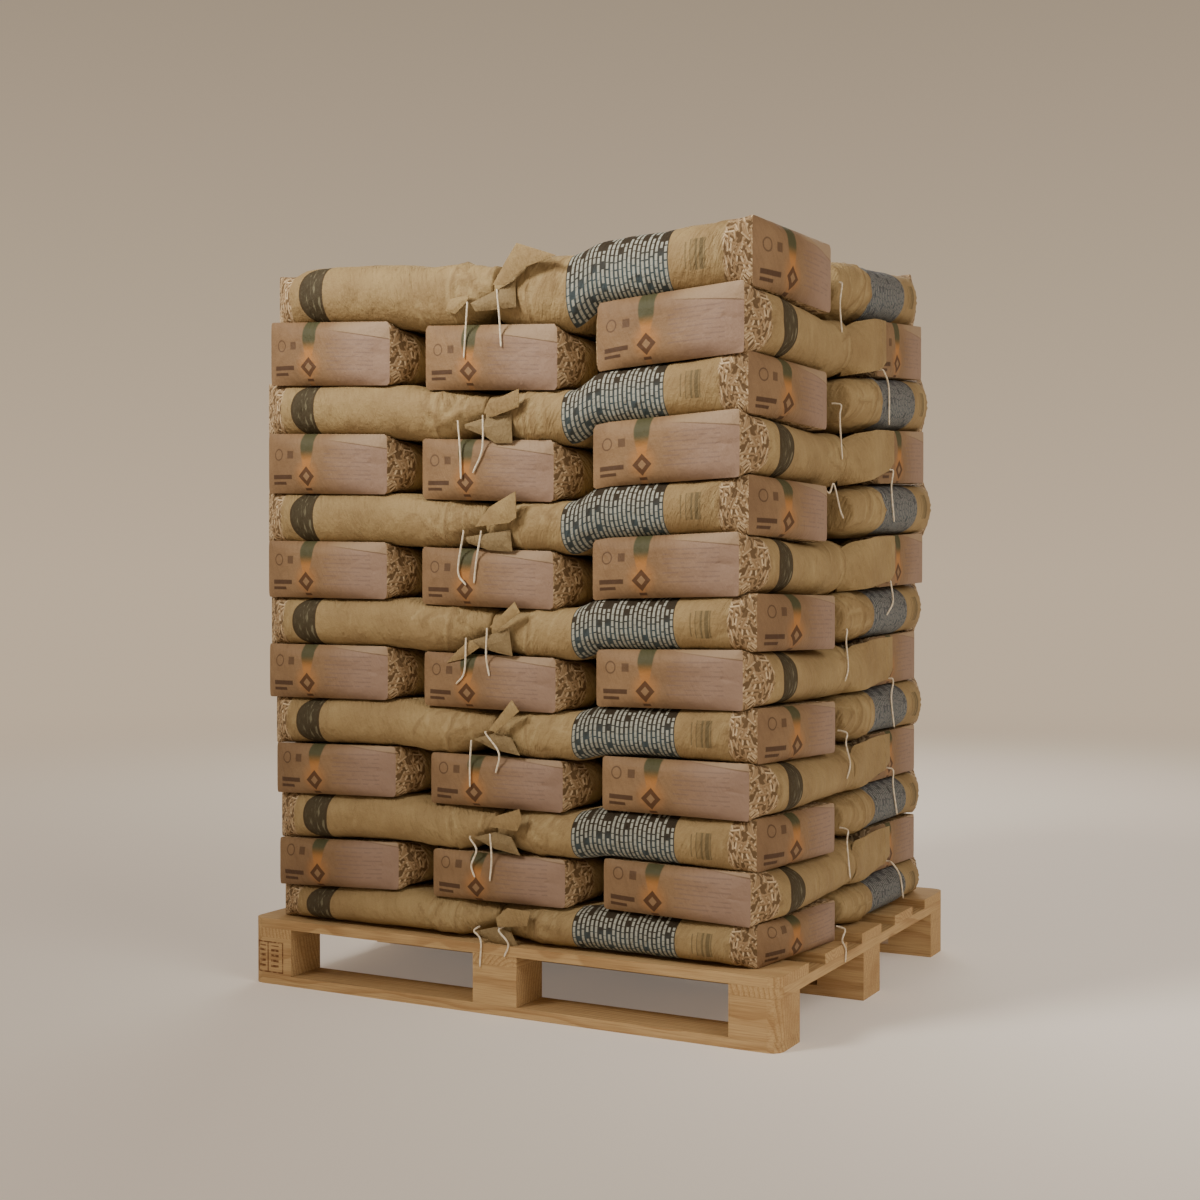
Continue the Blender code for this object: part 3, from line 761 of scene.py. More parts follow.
def bottom_paint():
    """The pasted bottom end: pinkish paper with plain generic shapes, a folded corner and a painted
    shadow line under its edge.
    """
    paint = Paint("sack_bottom_end")
    x, y = paint.print_place()
    base, height = paper_base(paint, PINK_LIGHT, PINK_DARK, PASTED_END_CRUMPLING)
    base = paint.mix(x.ramp(0.130, 0.260) * 0.65, base, PINK_GREY)
    base = emblem(paint, x, y, base)
    base = end_marks(paint, x, y, base)
    over_fold = y - (0.128 + x * -0.115)
    folded = over_fold.ramp(-0.0012, 0.0012) * x.ramp(0.150, 0.200)
    base = paint.mix(folded * 0.26, base, KRAFT_WORN)
    # A thin dark line just under the folded corner's edge: painted shadow of the fold
    edge = over_fold.between(-0.0018, 0.0002, 0.0008) * x.ramp(0.150, 0.220)
    base = paint.mix(edge * 0.40, base, PELLET_GROUND)
    wrinkle = paint.noise(paint.join(x * 22.0, y * 34.0), 1.0, 3.0, 0.6)
    return paint.finish(base, height + wrinkle * 0.0026 + folded * 0.0010, 0.66, 0.3)


def plain_paint(name, light, dark):
    """Paper without print, for the closed tops and for the inner layer where a top is tucked."""
    paint = Paint(name)
    return paint.finish(*paper_base(paint, light, dark))


def sack_paints():
    """The paints in the order of a sack's material slots."""
    return [gusset_one_paint(), gusset_two_paint(), broad_paint(), bottom_paint(),
            plain_paint("sack_top_end", KRAFT_LIGHT, KRAFT_DARK),
            # The inner paper is kraft painted darker as the shade of its recess
            plain_paint("sack_inner_paper_painted_shade", SHADED_PANEL_PAPER, SHADED_PANEL_PAPER)]


# Wood

WOOD_LIGHT = colour(196, 166, 120)
WOOD_DARK = colour(154, 116, 74)
WOOD_STAIN = colour(112, 80, 50)
STAMP_INK = colour(98, 56, 34)
YEAR_RING = 0.0085
STAMP_LEFT, STAMP_RIGHT = -0.588, -0.520
STAMP_LOW, STAMP_HIGH = 0.024, 0.090
STAMP_DIVIDE = (-0.5615, -0.5585)
STAMP_LINE = 0.003
STAMP_BARS = ((-0.583, -0.566), (-0.552, -0.532))
STAMP_BARS_INSET = 0.008
STAMP_BAR_PITCH = 0.011
STAMP_SOFTNESS = 0.0008
BOARD_EDGE = 0.0018


def wood_paint(name, along_axis, seed):
    """Sawn softwood: rings round an axis that runs with the board, fibres, stains and dirt."""
    paint = Paint(name)
    x, y, z = paint.split(paint.object_place())
    along, across = (x, y) if along_axis == "X" else (y, x)
    rng = np.random.default_rng(seed)
    centre_across, centre_up = rng.uniform(-0.25, 0.25), rng.uniform(-0.22, 0.02)
    warp_place = paint.join(along * 1.6, across * 7.0, z + seed * 0.37)
    warp = (paint.noise(warp_place, 1.0, 3.0) - 0.5) * 0.055
    radius = paint.hypotenuse(across + warp + centre_across, z + warp + centre_up)
    ring = (radius * (1.0 / YEAR_RING)).fraction()
    late = ring.ramp(0.35, 0.92) * ring.ramp(1.0, 0.94)
    fibre = paint.noise(paint.join(along * 9.0, across * 420.0, z * 420.0), 1.0, 3.0, 0.6)
    base = paint.mix(late * 0.50, WOOD_LIGHT, WOOD_DARK)
    base = paint.mix(fibre.ramp(0.35, 0.75, 0.0, 0.40), base, WOOD_DARK, "MULTIPLY")
    patch = paint.noise(paint.join(along * 3.0, across * 12.0, z * 12.0), 1.0, 3.0, 0.6)
    base = paint.mix(patch.ramp(0.50, 0.80, 0.0, 0.55), base, WOOD_DARK)
    stain = paint.noise(paint.join(along * 2.2 + seed * 1.3, across * 9.0, z * 30.0),
                        1.0, 4.0, 0.65)
    base = paint.mix(stain.ramp(0.60, 0.78, 0.0, 0.7), base, WOOD_STAIN)
    return paint, base, fibre * 0.0007 + late * 0.0003


def with_stamp(paint, base):
    """A burnt-in frame with plain marks on the front of the left front block."""
    x, y, z = paint.split(paint.object_place())
    on_front = y.ramp(PALLET_FRONT + 0.02, PALLET_FRONT + 0.01)
    outside = paint.box(x, z, STAMP_LEFT, STAMP_RIGHT, STAMP_LOW, STAMP_HIGH, STAMP_SOFTNESS)
    inside = paint.box(x, z, STAMP_LEFT + STAMP_LINE, STAMP_RIGHT - STAMP_LINE,
                       STAMP_LOW + STAMP_LINE, STAMP_HIGH - STAMP_LINE, STAMP_SOFTNESS)
    divide = paint.box(x, z, *STAMP_DIVIDE, STAMP_LOW, STAMP_HIGH, STAMP_SOFTNESS)
    bars = ((z * (1.0 / STAMP_BAR_PITCH)).fraction().between(0.25, 0.72, 0.06)
            * paint.either(*(x.between(*bar, STAMP_SOFTNESS) for bar in STAMP_BARS))
            * z.between(STAMP_LOW + STAMP_BARS_INSET, STAMP_HIGH - STAMP_BARS_INSET,
                        STAMP_SOFTNESS))
    marks = paint.either(outside * (1.0 - inside), divide, bars)
    worn = paint.noise(paint.object_place(), 130.0, 2.0).ramp(0.30, 0.55, 0.35, 0.9)
    return paint.mix(marks * on_front * worn, base, STAMP_INK)


def paint_pallet():
    """Give every board and block its own piece of wood, and soften its edges."""
    names = sorted(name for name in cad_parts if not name.startswith(("sack", "thread")))
    for seed, name in enumerate(names):
        axis = "Y" if name.startswith("stringer") else "X"
        paint, base, height = wood_paint(f"wood_{name}", axis, seed)
        if name == "block_1":
            base = with_stamp(paint, base)
        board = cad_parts[name]
        board.data.materials.clear()
        board.data.materials.append(paint.finish(base, height, 0.78, 0.25))
        edges = board.modifiers.new("worn_edges", "BEVEL")
        edges.width = BOARD_EDGE
        edges.segments = 2
        edges.limit_method = "ANGLE"


# Sacks

NOISE_GRID = 64
OCTAVE_SHIFT = (7.3, -3.1)
CURVE_SAMPLES = 161
# The share of the wrinkles that the wide faces have, and how soon they start after the bottom end
BROAD_WRINKLING = 0.30
WRINKLES_GROW_OVER = 0.018
# The height of a wrinkle that shows the full shade of a fold
FULL_SHADE_RELIEF = 0.0006
# How far a sack's print may lie off its place, and the print's height at a bottom end's foot
PRINT_SLIP = 0.004
PRINT_FOOT = 0.006

# Soft waves of the paper: height, length along, length across, and shift from face to face
WAVES = (
    (0.0022, 0.11, 0.07, 9),
    (0.0006, 0.018, 0.06, 5),
)
# Sets of straight folds on the sides: how many, the stretch (counted back from the top end where
# it is 0 or less), shortest and longest reach, depth, and whether they stand upright
STRAIGHT_FOLDS = (
    (5, (0.11, -0.14), (0.02, 0.05), 0.0012, True),
    (15, (-0.16, 0.0), (0.02, 0.06), 0.0052, False),
    (6, (0.01, 0.08), (0.02, 0.04), 0.0022, False),
)
FOLD_HEIGHTS = (-0.055, 0.055)
FOLD_WIDTHS = (0.0035, 0.0080)
FOLD_STRENGTHS = (-1.0, 0.7)
UPRIGHT_ANGLES = (0.30 * math.pi, 0.70 * math.pi)
# Folds round the side near the top: place from the top end, most lean, width and depth
RING_FOLDS = (
    ((0.080, 0.105), 0.20, 0.0035, -0.0044),
    ((0.030, 0.055), 0.25, 0.0040, 0.0028),
)
RING_FOLD_CURVE = 1.5
# The two creases that run from the corners of the bottom end and meet on the side
CORNER_CREASE_START = 0.052
CORNER_CREASE_END = 0.066
CORNER_CREASE_WIDTH = 0.004
CORNER_CREASE_DEPTH = 0.0030

# The rings of a sack that shows only its end: fine ones up to a place, then a few far ones
FINE_RINGS_UNTIL = 0.15
FAR_RINGS = 13

# The closed ends
TOP_SHARES = (0.10, 0.35, 0.70, 1.0)
TOP_SPINE = 0.125
TOP_DOME = 0.006
DENT_DEPTH = 0.0018
END_FOLD_DEPTH = 0.0022
# The shares of its height that a closed top loses from above and from below
PAIR_CLOSING = ((0.10, 0.40), (0.12, 0.14))
SINGLE_CLOSING = (0.12, 0.20)


def eased(share):
    """The share from 0 to 1 with a soft start and a soft end."""
    return share * share * (3 - 2 * share)


class Noise:
    """Repeatable smooth noise on a plane, one bump to a unit, from -1 to 1."""

    def __init__(self, seed):
        self.grid = np.random.default_rng(seed).uniform(-1.0, 1.0, (NOISE_GRID, NOISE_GRID))

    def plain(self, x, y):
        left = np.floor(x).astype(int)
        low = np.floor(y).astype(int)
        across = eased(x - left)
        up = eased(y - low)
        left, right = left % NOISE_GRID, (left + 1) % NOISE_GRID
        low, high = low % NOISE_GRID, (low + 1) % NOISE_GRID
        bottom = self.grid[left, low] * (1 - across) + self.grid[right, low] * across
        top = self.grid[left, high] * (1 - across) + self.grid[right, high] * across
        return bottom * (1 - up) + top * up

    def rough(self, x, y, octaves):
        total = 0.0
        for octave in range(octaves):
            finer = 2 ** octave
            total = total + self.plain(x * finer + OCTAVE_SHIFT[0] * octave,
                                       y * finer + OCTAVE_SHIFT[1] * octave) / finer
        return total


def profile(distances, keys, window=0.010):
    """Values along the sack, with the corners between the keys rounded off."""
    places, values = zip(*keys)
    reach = np.minimum(window, np.abs(distances))
    shares = (-1.0, -0.5, 0.0, 0.5, 1.0)
    return sum(np.interp(distances + share * reach, places, values) for share in shares) / 5


def ring_distances(lie, every_ring):
    """Where the rings of a sack stand. A sack that shows only its end has few."""
    top_zone = lie.length - TOP_TAPER
    if lie.shown or every_ring:
        middle = np.arange(BODY_START + MIDDLE_STEP, top_zone - MIDDLE_STEP / 2, MIDDLE_STEP)
        top = np.linspace(top_zone, lie.length, round(TOP_TAPER / TOP_STEP) + 1)
        return np.concatenate([END_RINGS, middle, top])
    near = np.arange(BODY_START + MIDDLE_STEP, FINE_RINGS_UNTIL, MIDDLE_STEP * 1.5)
    far = np.linspace(near[-1] + HIDDEN_STEP, lie.length, FAR_RINGS)
    return np.concatenate([END_RINGS, near, far])


def side_curve(half_width, depth, squareness, low, high, steps):
    """Evenly spaced points down one rounded side, as (out, up, distance from the bulge)."""
    angle = np.linspace(math.pi / 2, -math.pi / 2, CURVE_SAMPLES)
    power = 2 / squareness
    out = half_width - depth * (1 - np.abs(np.cos(angle)) ** power)
    up = (high - low) / 2 * np.sign(np.sin(angle)) * np.abs(np.sin(angle)) ** power
    travelled = np.concatenate([[0.0], np.cumsum(np.hypot(np.diff(out), np.diff(up)))])
    wanted = np.linspace(0.0, travelled[-1], steps + 1)
    return (np.interp(wanted, travelled, out), np.interp(wanted, travelled, up) + (low + high) / 2,
            travelled[-1] / 2 - wanted)


def sack_rings(lie, distances, low, high, flare_low, dip, steps_one, steps_two, broad_steps):
    """Points (along, across, up) of every ring, and the print place and face of each point.

    A ring starts on the top face at its -across side, runs over the top to the +across side
    (gusset two), and comes back under the sack and up the -across side (gusset one).
    """
    height = high - low
    end = lie.length
    above, below = lie.closing

    def to_the_top(keys, body, top):
        return profile(distances, (*keys, (end - TOP_TAPER, body), (end, top)))

    half_widths = to_the_top(HALF_WIDTHS, FULL_HALF_WIDTH, TOP_HALF_WIDTH)
    depths = to_the_top(SIDE_DEPTHS, FULL_SIDE_DEPTH, TOP_SIDE_DEPTH)
    squareness = to_the_top(SQUARENESS, BODY_SQUARENESS, TOP_SQUARENESS)
    flares = profile(distances, (*FLARES, (end, 0.0)), 0.004)
    dips = profile(distances, ((0.0, 1.0), (DIP_START, 1.0), (DIP_END, 0.0), (end, 0.0)))
    pinch = profile(distances, ((0.0, 0.0), (end - PINCH_START, 0.0), (end, 1.0)), 0.020) ** 1.4
    skew = np.clip(1 - distances / BODY_START, 0, 1)
    rings, prints = [], []
    for index, distance in enumerate(distances):
        ring_low = low + pinch[index] * below * height - flares[index] * flare_low
        ring_high = (high - pinch[index] * above * height + flares[index] * lie.flare
                     - dips[index] * dip)
        shape = (half_widths[index], depths[index], squareness[index], ring_low, ring_high)
        out_two, up_two, arc_two = side_curve(*shape, steps_two)
        out_one, up_one, arc_one = side_curve(*shape, steps_one)
        flat = half_widths[index] - depths[index]
        top = np.linspace(-flat, flat, broad_steps + 1)
        across = np.concatenate([top[:-1], out_two[:-1], -top[:-1], -out_one[::-1][:-1]])
        up = np.concatenate([np.full(broad_steps, ring_high), up_two[:-1],
                             np.full(broad_steps, ring_low), up_one[::-1][:-1]])
        along = distance + skew[index] * lie.slant * across
        rings.append(np.stack([along, across + skew[index] * lie.shift, up], axis=1))
        prints.append(np.concatenate([top[:-1], arc_two[:-1], -top[:-1], arc_one[::-1][:-1]]))
    faces = np.concatenate([np.full(broad_steps, BROAD), np.full(steps_two, GUSSET_TWO),
                            np.full(broad_steps, BROAD), np.full(steps_one, GUSSET_ONE)])
    return np.array(rings), np.array(prints), faces


def outward(points):
    """Unit normals of a tube of rings, pointing out."""
    round_it = np.roll(points, -1, axis=1) - np.roll(points, 1, axis=1)
    normal = np.cross(round_it, np.gradient(points, axis=0))
    return normal / np.maximum(np.linalg.norm(normal, axis=2, keepdims=True), 1e-9)


def folds(along, across, rng, count, zone, reach, depth, upright):
    """Straight sharp folds at random places, each fading out at its ends."""
    total = np.zeros(np.broadcast(along, across).shape)
    for _ in range(count):
        middle = rng.uniform(*zone)
        height = rng.uniform(*FOLD_HEIGHTS)
        angle = rng.uniform(*(UPRIGHT_ANGLES if upright else (0, math.pi)))
        length = rng.uniform(*reach)
        width = rng.uniform(*FOLD_WIDTHS)
        size = rng.uniform(*FOLD_STRENGTHS) * depth
        lengthwise = (along - middle) * math.cos(angle) + (across - height) * math.sin(angle)
        sideways = (across - height) * math.cos(angle) - (along - middle) * math.sin(angle)
        fade = np.clip(1 - (lengthwise / length) ** 2, 0, 1)
        total = total + size * fade * np.exp(-np.abs(sideways) / width)
    return total


def ring_fold(along, across, place, lean, curve, width, depth):
    """A fold that runs round the sack's side."""
    line = place + lean * across + curve * across ** 2
    return depth * np.exp(-np.abs(along - line) / width)


def creases(lie, distances, prints, faces, seed):
    """How far the paper of a sack stands out or in, by its wrinkles and folds."""
    rng = np.random.default_rng(1000 + seed)
    noise = Noise(seed)
    along = distances[:, None] + np.zeros_like(prints)
    on_side = (faces != BROAD)[None, :]
    field = np.zeros_like(prints)
    for height, long, wide, apart in WAVES:
        field += height * noise.rough(along / long, prints / wide + apart * faces[None, :], 2)
    side = np.zeros_like(prints)
    for count, stretch, *form in STRAIGHT_FOLDS:
        zone = [place if place > 0 else lie.length + place for place in stretch]
        side += folds(along, prints, rng, count, zone, *form)
    for places, lean, width, depth in RING_FOLDS:
        side += ring_fold(lie.length - along, prints, rng.uniform(*places),
                          rng.uniform(-lean, lean),
                          rng.uniform(-RING_FOLD_CURVE, RING_FOLD_CURVE), width, depth)
    line = CORNER_CREASE_START * (1 - along / CORNER_CREASE_END)
    corner = np.abs(np.abs(prints) - line)
    side -= (CORNER_CREASE_DEPTH * np.exp(-corner / CORNER_CREASE_WIDTH)
             * (along < CORNER_CREASE_END))
    field += side * on_side
    near_end = np.clip(distances / WRINKLES_GROW_OVER, 0, 1)[:, None] ** 1.5
    return field * near_end * np.where(on_side, 1.0, BROAD_WRINKLING)


def blurred(field):
    """The field averaged over neighbouring points."""
    padded = np.concatenate([field[:1], field, field[-1:]])
    lengthwise = (padded[:-2] + padded[1:-1] + padded[2:]) / 3
    return (np.roll(lengthwise, 1, 1) + lengthwise + np.roll(lengthwise, -1, 1)) / 3


def cap_rings(ring, spine, shares):
    """Rings that close in from an end ring towards a straight line across its middle."""
    along, across, up = ring.T
    middle_up = (up.max() + up.min()) / 2
    middle = (across.max() + across.min()) / 2
    target = np.stack([along, np.clip(across, middle - spine, middle + spine),
                       np.full(len(ring), middle_up)], axis=1)
    return [ring + (target - ring) * share for share in shares]


def bottom_end(lie, ring, seed):
    """The bottom end's rings: a bulging face with soft dents and one long fold."""
    noise = Noise(seed + 77)
    half = (ring[:, 1].max() - ring[:, 1].min()) / 2
    middle = (ring[:, 1].max() + ring[:, 1].min()) / 2
    base = ring[:, 2].min()
    tall = ring[:, 2].max() - base
    rings = []
    for flat in cap_rings(ring, CAP_SPINE, CAP_SHARES):
        across = (flat[:, 1] - middle) / half
        up = (flat[:, 2] - base) / tall * 2 - 1
        bulge = lie.bulge * (1 - np.abs(across) ** 3) * (1 - np.abs(up) ** 5)
        inside = np.clip((1 - np.abs(up)) * 4, 0, 1) * np.clip((1 - np.abs(across)) * 8, 0, 1)
        dents = DENT_DEPTH * noise.rough(flat[:, 1] / 0.055, flat[:, 2] / 0.035, 3)
        fold = -END_FOLD_DEPTH * np.exp(-np.abs(up - 0.42 - 0.5 * across) / 0.05) * (across < 0.1)
        along = lie.slant * (flat[:, 1] - middle) - bulge - (dents + fold) * inside
        rings.append(np.stack([along, flat[:, 1], flat[:, 2]], axis=1))
    return rings


def top_end(ring):
    """The closed top's rings, only slightly domed."""
    rings = cap_rings(ring, TOP_SPINE, TOP_SHARES)
    middle = ring[:, 0].mean()
    for number, closing in enumerate(rings, 1):
        closing[:, 0] = middle + TOP_DOME * math.sin(number / len(rings) * math.pi / 2)
    return rings


def body_quads(distances, prints, face_of):
    """The quads between the rings, the print place of their corners, and their faces."""
    columns = prints.shape[1]
    row, column = np.meshgrid(np.arange(len(distances) - 1), np.arange(columns), indexing="ij")
    row, column = row.ravel(), column.ravel()
    following = (column + 1) % columns
    quads = np.stack([row * columns + column, (row + 1) * columns + column,
                      (row + 1) * columns + following, row * columns + following], axis=1)
    after = np.roll(prints, -1, axis=1)
    # A face's last column ends at its own edge, not at the next face's first place
    for last in np.flatnonzero(np.diff(face_of, append=-1)):
        after[:, last] = 2 * prints[:, last] - prints[:, last - 1]
    u = np.stack([distances[row], distances[row + 1], distances[row + 1], distances[row]], axis=1)
    v = np.stack([prints[row, column], prints[row + 1, column],
                  after[row + 1, column], after[row, column]], axis=1)
    return quads, u, v, face_of[column]


def sack_arrays(lie, seed, top_layer, low, high, flare_low, dip):
    """One sack in its own frame: the fold round its bottom end at 0, its top end towards +X."""
    steps_one = SHOWN_SIDE_STEPS if lie.side == GUSSET_ONE else HIDDEN_SIDE_STEPS
    steps_two = SHOWN_SIDE_STEPS if lie.side == GUSSET_TWO else HIDDEN_SIDE_STEPS
    broad_steps = TOP_LAYER_BROAD_STEPS if top_layer else BROAD_STEPS
    distances = ring_distances(lie, top_layer)
    rings, prints, face_of = sack_rings(lie, distances, low, high, flare_low, dip,
                                        steps_one, steps_two, broad_steps)
    field = creases(lie, distances, prints, face_of, seed)
    rings = rings + outward(rings) * field[..., None]
    # The fold value, from -1 in a hollow to 1 on a ridge, drives painted shade in the hollows and
    # worn, lighter paper on the ridges
    fold = np.clip((field - blurred(blurred(field))) / FULL_SHADE_RELIEF, -1, 1)
    rng = np.random.default_rng(5000 + seed)
    slip_along, slip_across = rng.uniform(-PRINT_SLIP, PRINT_SLIP, 2)
    quads, u, v, slots = body_quads(distances, prints, face_of)
    points = [rings.reshape(-1, 3)]
    fold_values = [fold.ravel()]
    quad_sets, slot_sets = [quads], [slots]
    print_sets = [np.stack([u + slip_along, v + slip_across], axis=2)]

    columns = rings.shape[1]
    count = len(distances) * columns
    index = np.arange(columns)
    following = (index + 1) % columns
    caps = ((0, bottom_end(lie, rings[0], seed), BOTTOM),
            (count - columns, top_end(rings[-1]), TOP))
    for previous, cap, slot in caps:
        for ring in cap:
            points.append(ring)
            fold_values.append(np.zeros(columns))
            here = np.stack([previous + index, previous + following, count + following,
                             count + index], axis=1)
            quad_sets.append(here if slot == BOTTOM else here[:, ::-1])
            place = np.concatenate(points)[quad_sets[-1]]
            print_sets.append(np.stack([END_HALF_WIDTH + lie.shift - place[..., 1],
                                        place[..., 2] - low + PRINT_FOOT], axis=2))
            slot_sets.append(np.full(columns, slot))
            previous = count
            count += columns
    return [np.concatenate(parts)
            for parts in (points, quad_sets, print_sets, slot_sets, fold_values)]


def build_object(name, points, quads, corner_prints, face_slots, fold, materials):
    """A mesh object from arrays. Points at one place are joined, and flat quads close up."""
    _, first, index = np.unique(np.round(points, 6), axis=0, return_index=True,
                                return_inverse=True)
    order = np.sort(first)
    rank = np.empty(len(points), dtype=int)
    rank[order] = np.arange(len(order))
    lookup = rank[first[index.ravel()]]
    faces, uvs, slots = [], [], []
    for quad, prints, slot in zip(lookup[quads].tolist(), corner_prints.tolist(),
                                  face_slots.tolist()):
        kept = {}
        for corner, place in zip(quad, prints):
            kept.setdefault(corner, place)
        if len(kept) > 2:
            faces.append(list(kept))
            uvs.extend(kept.values())
            slots.append(slot)
    mesh = bpy.data.meshes.new(name)
    mesh.from_pydata(points[order].tolist(), [], faces)
    layer = mesh.uv_layers.new(name="print")
    layer.data.foreach_set("uv", np.array(uvs, dtype=np.float32).ravel())
    mesh.polygons.foreach_set("material_index", np.array(slots, dtype=np.int32))
    mesh.polygons.foreach_set("use_smooth", np.ones(len(faces), dtype=bool))
    attribute = mesh.attributes.new("fold", "FLOAT", "POINT")
    attribute.data.foreach_set("value", fold[order].astype(np.float32))
    for material in materials:
        mesh.materials.append(material)
    mesh.update()
    return add_object(name, mesh)


def pair_of_sacks(layer, row, shift, spread, y, right_bulge, slant, sides):
    """Two lengthwise sacks with their tops together in the middle."""
    reach = PAIR_REACH + spread
    length = reach - PAIR_GAP / 2
    turned = slant * END_HALF_WIDTH
    name = f"sack_{layer:02d}_{row}"
    return [
        Lie(f"{name}_left", (shift - reach, y), FACING_RIGHT, length, SLIGHT_BULGE, 0.0, 0.0, 0.0,
            sides[0], True, PAIR_CLOSING[0]),
        Lie(f"{name}_right", (shift + reach + turned, y), FACING_LEFT, length + turned,
            right_bulge, 0.0, 0.0, slant, sides[1], True, PAIR_CLOSING[1]),
    ]


def three_sacks(layer, row, shift, spread, y, facing, end_shift, sides):
    """Three crosswise sacks side by side, with their bottom ends outward."""
    pitch = SACK_PITCH + spread
    flare = END_FLARE * layer / LAYERS
    sacks = []
    for column, word, side in ((-1, "left", sides[0]), (0, "middle", None), (1, "right", sides[1])):
        sacks.append(Lie(f"sack_{layer:02d}_{row}_{word}", (shift + column * pitch, y), facing,
                         SACK_LENGTH, END_BULGE, flare, end_shift, 0.0, side,
                         side is not None, SINGLE_CLOSING))
    return sacks


def sacks_of_layer(layer):
    """How the five sacks of a layer lie. Odd layers have their pair in front."""
    front_shift, front_spread, back_shift, back_spread, back_reach = LAYER_OFFSETS[layer - 1]
    back = STACK_BACK + back_reach
    if layer % 2 == 1:
        sides = (GUSSET_ONE, GUSSET_TWO)
        pair = pair_of_sacks(layer, "front", front_shift, front_spread,
                             STACK_FRONT + SACK_WIDTH / 2, END_BULGE, RIGHT_END_SLANT, sides)
        return pair + three_sacks(layer, "back", back_shift, back_spread, back, FACING_FRONT, 0.0,
                                  sides)
    sides = (GUSSET_TWO, GUSSET_ONE)
    pair = pair_of_sacks(layer, "back", back_shift, back_spread, back - SACK_WIDTH / 2,
                         SLIGHT_BULGE, 0.0, sides)
    return pair + three_sacks(layer, "front", front_shift, front_spread, STACK_FRONT + END_BULGE,
                              FACING_BACK, FRONT_END_SHIFT, sides)


# Folded paper at the sewn tops

FLAP_THICKNESS = 0.0014
FLAP_LONGEST_EDGE = 0.0112
FLAP_DIVISIONS = 5
FLAP_ROUNDING = 0.012
FLAP_EDGE = 0.0015
EAR_LIFT = 0.006
EAR_LEAN = 0.09
EAR_CROWN = 0.003
LOW_EAR_CROWN = 0.004
TUCKED_LIFT = -0.004
TUCKED_CROWN = 0.008
USUAL_PANEL = 5
PANEL_LEFT = -0.045
PANEL_FLAT_FROM = 0.045
PANEL_RIGHT = {12: 0.129, 10: 0.171, 8: 0.196, 6: 0.205, 4: 0.195, 2: 0.195}
PANEL_CROWN = 0.003
PANEL_CLEARANCE = 0.001
PANEL_LOWEST_EDGE = 0.012
PANEL_RIDGE = 0.0035
PANEL_RIDGE_INSET = 0.042
PANEL_RIDGE_WIDTH = 0.005
BEHIND_THREAD = 0.0035


def edge_distance(point, start, end):
    """Distance from a point to a straight side of an outline."""
    run = (end[0] - start[0], end[1] - start[1])
    to_point = (point[0] - start[0], point[1] - start[1])
    length = run[0] ** 2 + run[1] ** 2
    share = max(0.0, min(1.0, (run[0] * to_point[0] + run[1] * to_point[1]) / length))
    return math.hypot(to_point[0] - share * run[0], to_point[1] - share * run[1])


def flat_sheet(outline):
    """A flat sheet over an outline, divided into small triangles."""
    sheet = bmesh.new()
    sheet.faces.new([sheet.verts.new((a, b, 0.0)) for a, b in outline])
    bmesh.ops.triangulate(sheet, faces=sheet.faces[:])
    for _ in range(FLAP_DIVISIONS):
        long_edges = [edge for edge in sheet.edges if edge.calc_length() > FLAP_LONGEST_EDGE]
        if not long_edges:
            break
        bmesh.ops.subdivide_edges(sheet, edges=long_edges, cuts=1)
        bmesh.ops.triangulate(sheet, faces=sheet.faces[:])
    bmesh.ops.beautify_fill(sheet, faces=sheet.faces[:], edges=sheet.edges[:])
    return sheet


def flap_mesh(outline, place_of, crown, materials, slot=TOP):
    """Folded paper: a thin sheet over a flat outline, domed by the crown inside its edges.

    place_of turns a place on the sheet and its height over it into a point of the scene.
    """
    sides = list(zip(outline, [*outline[1:], outline[0]]))

    def from_edge(vert):
        return min(edge_distance((vert.co.x, vert.co.y), *side) for side in sides)

    bm = flat_sheet(outline)
    for vert in bm.verts:
        vert.co.z = crown * (1 - math.exp(-from_edge(vert) / FLAP_ROUNDING))
    bmesh.ops.solidify(bm, geom=bm.faces[:], thickness=FLAP_THICKNESS)
    layer = bm.loops.layers.uv.new("print")
    fold = bm.verts.layers.float.new("fold")
    for vert in bm.verts:
        vert[fold] = 0.5 * math.exp(-from_edge(vert) / FLAP_EDGE)
    for face in bm.faces:
        face.material_index = slot
        for loop in face.loops:
            loop[layer].uv = loop.vert.co.xy
    for vert in bm.verts:
        vert.co = place_of(*vert.co)
    bmesh.ops.recalc_face_normals(bm, faces=bm.faces[:])
    mesh = bpy.data.meshes.new("flap")
    bm.to_mesh(mesh)
    bm.free()
    for material in materials:
        mesh.materials.append(material)
    return add_object("flap", mesh)


def seam_flaps(layer, seam_y, outward_sign, materials):
    """The ear of folded paper and the tucked panel under it, where two tops meet."""
    base = layer_bottom(layer)
    source = layer if layer % 2 == 1 else layer + 1
    ears = dict(FRONT_EARS)[source]
    left = min(x for x, _ in ears)

    def on_ear(x, z, out):
        lean = EAR_LIFT + EAR_LEAN * (x - left)
        return Vector((x, seam_y + outward_sign * (lean + out), base + z))

    def on_panel(x, z, out):
        return Vector((x, seam_y + outward_sign * (TUCKED_LIFT + out), base + z))

    panels = dict(TUCKED_PANELS)
    panel = panels.get(source, panels[USUAL_PANEL])
    # The tucked panel takes the inner slot, whose paper is kraft painted darker: painted shade
    flaps = [flap_mesh(ears, on_ear, EAR_CROWN, materials),
             flap_mesh(panel, on_panel, TUCKED_CROWN, materials, INNER)]
    low = dict(LOW_EARS).get(source)
    if low:
        flaps.append(flap_mesh(low, on_panel, LOW_EAR_CROWN, materials))
    return flaps


